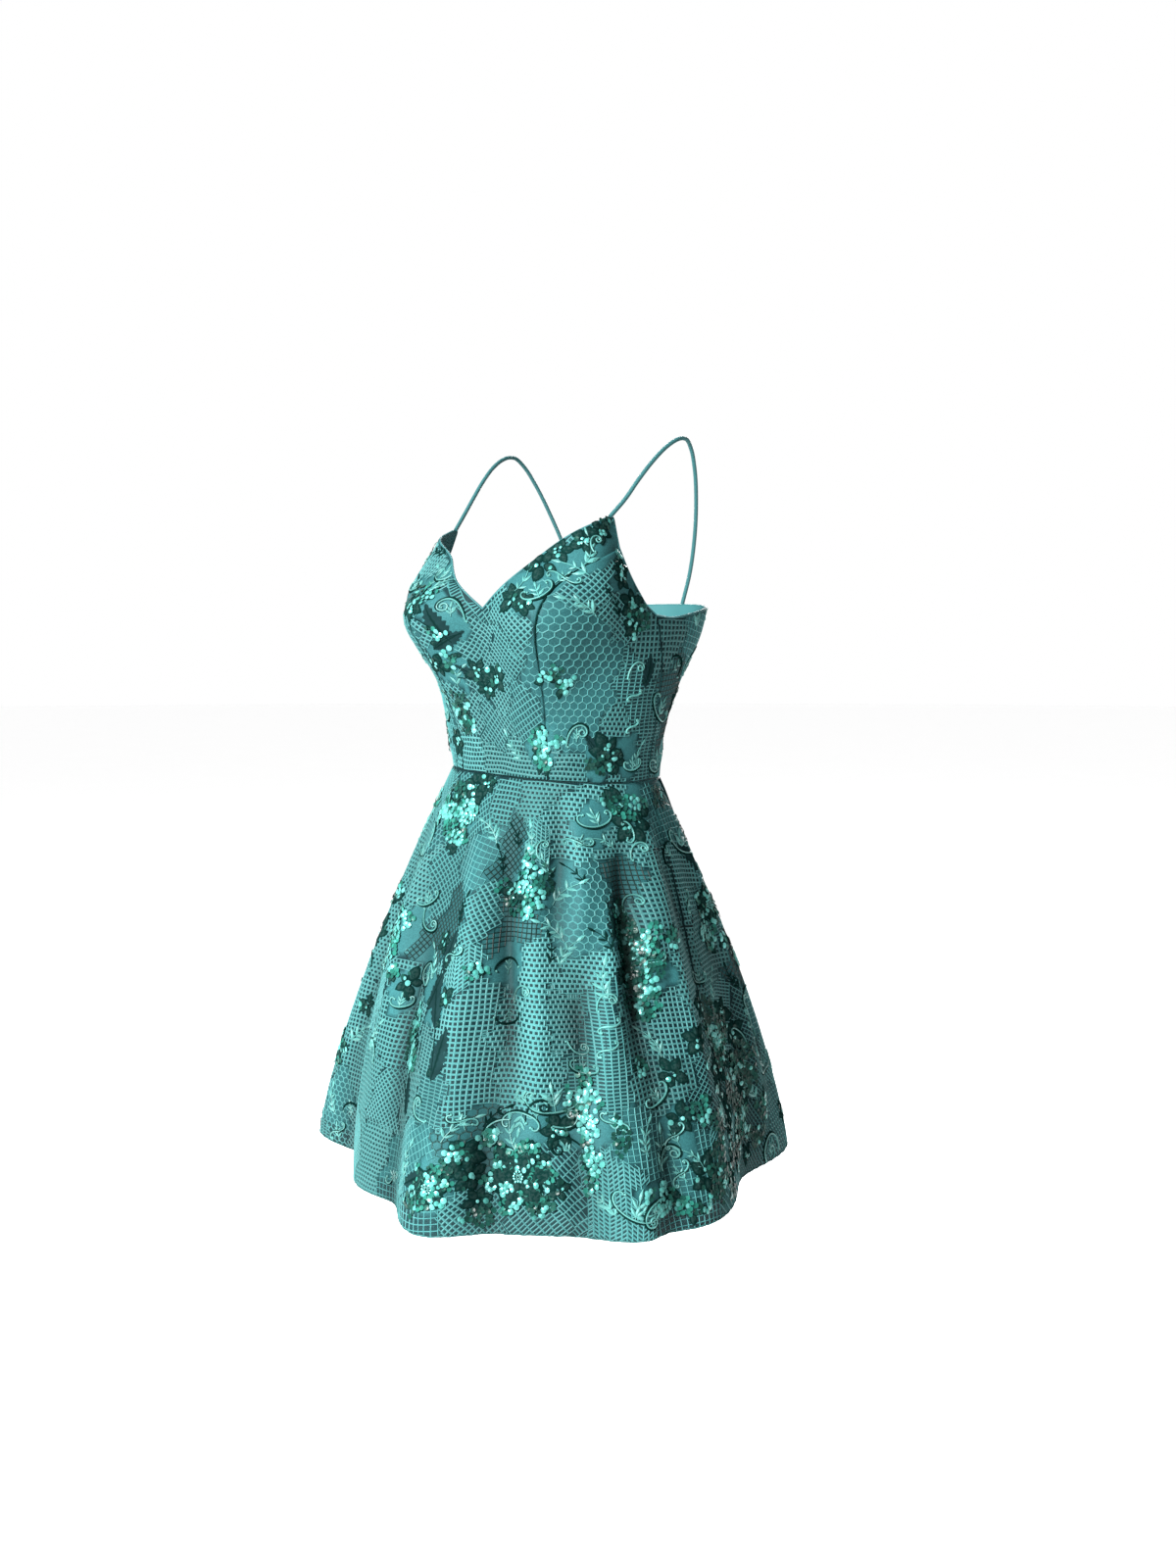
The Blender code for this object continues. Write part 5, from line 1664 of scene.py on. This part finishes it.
def knot_shape():
    """A closed oval knot, 1 long, from its foot at the origin up +Y."""
    bm = bmesh.new()
    bmesh.ops.create_icosphere(bm, subdivisions=1, radius=0.5)
    for vert in bm.verts:
        x, y, z = vert.co
        vert.co = x, y + 0.5, z * 0.8
    mesh = mesh_from(bm, "knot")
    mesh.shade_smooth()
    return mesh


# Edges of one side of the flat shapes, 1 long, from foot to tip
PETAL_HALF = ((0.1, 0.04), (0.24, 0.18), (0.34, 0.4), (0.32, 0.6), (0.2, 0.8), (0.09, 0.92))
LEAFLET_HALF = ((0.07, 0.13), (0.14, 0.35), (0.13, 0.61), (0.05, 0.86))
SERRATIONS = 8
LEAF_HALF_WIDTH = 0.21


def flat_shape(name, half, rise):
    """A thin closed petal or leaf, 1 long, its foot at the origin and its middle a little up."""
    outline = [(0.0, 0.0), *half, (0.0, 1.0), *((-x, y) for x, y in reversed(half))]
    bm = bmesh.new()
    bmesh.ops.create_circle(bm, cap_ends=True, cap_tris=True, radius=0.5, segments=len(outline))
    rim = sorted((vert for vert in bm.verts if vert.is_boundary), key=lambda vert: atan2(*vert.co[:2]))
    for vert, (x, y) in zip(rim, outline):
        vert.co = -x, y, 0
    for vert in set(bm.verts) - set(rim):
        vert.co = 0, 0.5, rise
    return thickened(bm, name, lambda x, y: np.hypot(x, y - 0.5) > 0.05)


def jagged_shape():
    """A thin closed long leaf with teeth along both edges, 1 long, its foot at the origin."""
    rows = 2 * SERRATIONS
    bm = bmesh.new()
    bmesh.ops.create_grid(bm, x_segments=2, y_segments=rows, size=0.5)
    for vert in bm.verts:
        side, row = round(vert.co.x * 2), round((vert.co.y + 0.5) * rows)
        share = row / rows
        half = LEAF_HALF_WIDTH * sin(pi * share**0.75) + 0.004
        tooth = 1.0 if row % 2 else 0.68
        vert.co = side * half * tooth, share + (0.03 if side and row % 2 else 0.0), 0.0 if side else 0.012
    return thickened(bm, "jagged", lambda x, y: np.abs(x) > 0.01)


def thickened(bm, name, at_rim):
    """The flat shape as a closed thin solid, with a rim attribute of 1 where at_rim says so."""
    bmesh.ops.solidify(bm, geom=list(bm.faces), thickness=0.015)
    bmesh.ops.recalc_face_normals(bm, faces=bm.faces)
    mesh = mesh_from(bm, name)
    x, y, _ = coordinates(mesh).T
    set_attribute(mesh, "rim", at_rim(x, y))
    return mesh


def template_of(kind):
    if kind.startswith("sequin"):
        return sequin_shape(kind == "sequin_bright")
    if kind == "petal":
        return flat_shape("petal", PETAL_HALF, 0.06)
    if kind == "jagged":
        return jagged_shape()
    if kind == "knot":
        return knot_shape()
    return flat_shape("leaflet", LEAFLET_HALF, 0.1)


def part_material(kind):
    if kind.startswith("sequin"):
        return sequin_finish(kind, kind == "sequin_dark")
    made = {"petal": petal_finish, "jagged": leaf_finish}.get(kind, cord_thread)
    return thread("thread_dark", dark=True) if kind == "leaflet_dark" else made()


def held_on(skirt, x, y):
    """Turns and runs of places on the flat cloth, moved to the dress's edge where they lie beyond it."""
    turn, run = area_of(skirt).unflat(x, y)
    return turn, np.clip(run, *run_limits(skirt, turn, 1.0, 0.4))


def with_region(kind, skirt):
    return kind + ("_skirt" if skirt else "_bodice")


def lay_parts(skirt, kinds):
    """Small parts: sequins and knots lie stiff on the cloth, and leaves and petals follow it."""
    stock = stock_of(skirt)
    for kind in kinds:
        if kind not in stock.parts:
            continue
        rows = np.array(stock.parts[kind])
        x, y, heading, size, tone, lift, tilt = rows[on_dress(skirt, rows[:, 0], rows[:, 1], 1.5)].T
        stiff = kind == "knot" or kind.startswith("sequin")
        if stiff:
            matrices = axes_at(stock.area, x, y, heading, tilt, np.random.default_rng(41))
            turning = np.array([Matrix(matrix.tolist()).to_euler() for matrix in matrices])
            points, size = on_cloth(stock.area, x, y, lift), size * MM
        else:
            turning = np.column_stack([0 * heading, 0 * heading, heading])
            points = np.column_stack([x, y, lift])
        thing = copies(with_region(kind, skirt), template_of(kind), points, turning, size, tone,
                       part_material(kind))
        if not stiff:
            x, y, above = coordinates(thing.data).T
            set_coordinates(thing.data, skin(stock.area, *held_on(skirt, x, y), above)[0])
        dress_piece(thing, "lace")


def lay_lines(skirt, kinds):
    """Cords and stems, without the stretches that would lie off the dress."""
    stock = stock_of(skirt)
    for kind in kinds:
        paths, radii = [], []
        for x, y, lift, swell in stock.lines.get(kind, ()):
            kept = on_dress(skirt, x, y, 2.0)
            changes = np.flatnonzero(np.diff(np.concatenate([[0], kept.astype(int), [0]])))
            for start, end in zip(changes[::2], changes[1::2]):
                if end - start >= 4:
                    paths.append(on_cloth(stock.area, x[start:end], y[start:end], lift))
                    radii.append(swell[start:end])
        if not paths:
            continue
        cord = kind.startswith("cord")
        radius = scene_look().cord_diameter / 2 * (1.0 if cord else 0.5)
        material = thread("thread_dark", dark=True) if kind.endswith("dark") else cord_thread()
        thing = tubes(with_region(kind, skirt), paths, radius, material, 1 if cord else 0, radii)
        set_attribute(thing.data, "tone", 0.9)
        dress_piece(thing, "lace")


# --- stage

CAMERA_AT = Vector((0.9994, -1.3819, -0.2235))
CAMERA_HEADING = Vector((-0.5878, 0.8090, 0.0))
CAMERA_DOWN = radians(4.71)
CAMERA_LENS = 35.48
FLOOR_Z = -1.475
LIT_MIDDLE = Vector((0, -0.07, -0.4))
Lamp = namedtuple("Lamp", "name towards distance size power")
LAMPS = (Lamp("key", Vector((-0.12, -1.0, 0.5)), 3.0, 0.7, 600.0),
         Lamp("back", Vector((-0.5, 1.0, 0.5)), 3.0, 1.6, 200.0))


def make_stage():
    bm = bmesh.new()
    bmesh.ops.create_circle(bm, cap_ends=True, radius=40.0, segments=96)
    bmesh.ops.translate(bm, verts=bm.verts, vec=(0, 0, FLOOR_Z))
    floor_finish = Finish("floor_white", 0.8)
    floor_finish.colour(floor_finish.mix(floor_finish.noise(3.0), (0.97, 0.97, 0.97), (0.985, 0.985, 0.985)))
    floor = new_object("floor", mesh_from(bm, "floor"), floor_finish.material)

    world = bpy.data.worlds.new("studio")
    bpy.context.scene.world = world
    world.use_nodes = True
    background = world.node_tree.nodes["Background"]
    background.inputs["Color"].default_value = (1, 1, 1, 1)
    background.inputs["Strength"].default_value = 1.0

    for row in LAMPS:
        light = bpy.data.lights.new(row.name, "AREA")
        light.size = row.size
        light.energy = row.power
        lamp = new_object(row.name, light)
        lamp.location = LIT_MIDDLE + row.towards.normalized() * row.distance
        lamp.rotation_euler = (-row.towards).to_track_quat("-Z", "Y").to_euler()

    lens = bpy.data.cameras.new("camera")
    lens.lens = CAMERA_LENS
    lens.sensor_width = 36.0
    camera = new_object("camera", lens)
    camera.location = CAMERA_AT
    aim = CAMERA_HEADING.normalized() * cos(CAMERA_DOWN) - Vector((0, 0, sin(CAMERA_DOWN)))
    camera.rotation_euler = aim.to_track_quat("-Z", "Y").to_euler()
    bpy.context.scene.camera = camera
    bpy.context.scene.view_settings.view_transform = "Standard"


# --- add-on

def colour_property(name, description, default):
    return FloatVectorProperty(name=name, description=description, default=default, subtype="COLOR", size=3,
                               min=0, max=1)


class DressLook(bpy.types.PropertyGroup):
    """Sizes and colours a user would change"""

    crease_depth: FloatProperty(name="Crease depth", description="Share of the small creases' depth",
                                default=1.3, min=0.0, max=2.0, subtype="FACTOR")
    thread_height: FloatProperty(name="Net thread height", description="How far the net's threads stand up",
                                 default=0.55 * MM, unit="LENGTH")
    sequin_diameter: FloatProperty(name="Sequin diameter", description="Diameter of a full-size sequin",
                                   default=5.8 * MM, unit="LENGTH")
    cord_diameter: FloatProperty(name="Cord diameter", description="Thickness of the scrolls' cord",
                                 default=1.9 * MM, unit="LENGTH")
    satin: colour_property("Satin", "Satin under the tulle", (0.0125, 0.058, 0.061))
    # Dark tulle seen between the net's threads, which also paints the shade there
    gap: colour_property("Gaps", "Cloth seen between the net's threads", (0.0010, 0.0075, 0.0088))
    thread_light: colour_property("Light thread", "Palest embroidery thread", (0.029, 0.112, 0.111))
    cord: colour_property("Cord", "Pale cord of the scrolls and leaves", (0.036, 0.132, 0.122))
    # Darkest embroidery thread, which also colours the painted shadows beside the scrolls and along the cups'
    # seams
    thread_dark: colour_property("Dark thread", "Darkest embroidery thread", (0.0011, 0.0068, 0.006))
    petal: colour_property("Petals", "Specks inside the dark petals", (0.0062, 0.0168, 0.0155))
    leaf: colour_property("Dark leaves", "Serrated dark leaves", (0.0044, 0.0132, 0.0142))
    # Mint sequins, which also paint the sequins that catch the light
    sequin_bright: colour_property("Bright sequins", "Mint sequins", (0.0235, 0.126, 0.111))
    sequin_pale: colour_property("Pale sequins", "Palest mint sequins", (0.062, 0.218, 0.204))
    # Bottle-green sequins, which also stand for sequins turned from the light
    sequin_dark: colour_property("Dark sequins", "Bottle-green sequins", (0.0016, 0.012, 0.0095))
    sequin_deep: colour_property("Green sequins", "Deep green sequins", (0.009, 0.078, 0.06))
    zip: colour_property("Zip paint", "Paint on the slider and its pull", (0.02, 0.1, 0.1))


def scene_look():
    return bpy.context.scene.dress_look


class DRESS_OT_stage(bpy.types.Operator):
    """Floor, light and camera"""

    bl_idname = "dress.stage"
    bl_label = "Stage"

    def execute(self, context):
        make_stage()
        return {"FINISHED"}


class DRESS_OT_bodice(bpy.types.Operator):
    """The bodice's five cloth panels"""

    bl_idname = "dress.bodice"
    bl_label = "Bodice cloth"

    def execute(self, context):
        make_bodice_cloth()
        return {"FINISHED"}


class DRESS_OT_skirt(bpy.types.Operator):
    """The skirt's lace and its lining"""

    bl_idname = "dress.skirt"
    bl_label = "Skirt cloth"

    def execute(self, context):
        make_skirt_cloth()
        return {"FINISHED"}


class DRESS_OT_straps(bpy.types.Operator):
    """The two rouleau straps"""

    bl_idname = "dress.straps"
    bl_label = "Straps"

    def execute(self, context):
        make_straps()
        return {"FINISHED"}


class DRESS_OT_edges(bpy.types.Operator):
    """Binding, hem cord and hem stitches"""

    bl_idname = "dress.edges"
    bl_label = "Edges"

    def execute(self, context):
        make_edges()
        return {"FINISHED"}


class DRESS_OT_net(bpy.types.Operator):
    """Embroidered net of every panel"""

    bl_idname = "dress.net"
    bl_label = "Net"

    def execute(self, context):
        for panel in SKIRT_PANELS:
            make_net_panel("net_skirt_" + panel, True, panel)
        for panel in bodice_edges():
            make_net_panel("net_" + panel, False, panel)
        return {"FINISHED"}


class DRESS_OT_cords(bpy.types.Operator):
    """Scrolls of cord, the dark cords that paint their shadows, and the sprigs' stems"""

    bl_idname = "dress.cords"
    bl_label = "Cords"

    def execute(self, context):
        for skirt in (True, False):
            lay_lines(skirt, ("cord_light", "cord_dark", "stem_light", "stem_dark"))
            lay_parts(skirt, ("knot",))
        return {"FINISHED"}


class DRESS_OT_leaves(bpy.types.Operator):
    """Leaves of the sprigs, dark petals and dark leaf sprays"""

    bl_idname = "dress.leaves"
    bl_label = "Leaves and petals"

    def execute(self, context):
        for skirt in (True, False):
            lay_parts(skirt, ("leaflet", "leaflet_dark", "jagged", "petal"))
        return {"FINISHED"}


class DRESS_OT_sequins(bpy.types.Operator):
    """Mint and bottle-green sequins, which also paint lit and unlit sequins"""

    bl_idname = "dress.sequins"
    bl_label = "Sequins"

    def execute(self, context):
        for skirt in (True, False):
            lay_parts(skirt, ("sequin_bright", "sequin_dark"))
        return {"FINISHED"}


class DRESS_OT_zip(bpy.types.Operator):
    """The concealed zip's tapes and coil, and the finish of its slider and pull tab"""

    bl_idname = "dress.zip"
    bl_label = "Zip"

    def execute(self, context):
        make_zip()
        return {"FINISHED"}


STEPS = (DRESS_OT_stage, DRESS_OT_straps, DRESS_OT_bodice, DRESS_OT_skirt, DRESS_OT_edges, DRESS_OT_net,
         DRESS_OT_cords, DRESS_OT_leaves, DRESS_OT_sequins, DRESS_OT_zip)


class DRESS_PT_panel(bpy.types.Panel):
    """Sizes, colours and steps of the dress"""

    bl_idname = "DRESS_PT_panel"
    bl_label = "Cocktail dress"
    bl_space_type = "VIEW_3D"
    bl_region_type = "UI"
    bl_category = "Dress"

    def draw(self, context):
        look = context.scene.dress_look
        for key in DressLook.__annotations__:
            self.layout.prop(look, key)
        for step in STEPS:
            self.layout.operator(step.bl_idname)


CLASSES = (DressLook, *STEPS, DRESS_PT_panel)


def register():
    for made in CLASSES:
        bpy.utils.register_class(made)
    bpy.types.Scene.dress_look = PointerProperty(type=DressLook)


def unregister():
    del bpy.types.Scene.dress_look
    for made in reversed(CLASSES):
        bpy.utils.unregister_class(made)


def main():
    register()
    for step in STEPS:
        area, name = step.bl_idname.split(".")
        getattr(getattr(bpy.ops, area), name)()


if __name__ == "__main__":
    main()
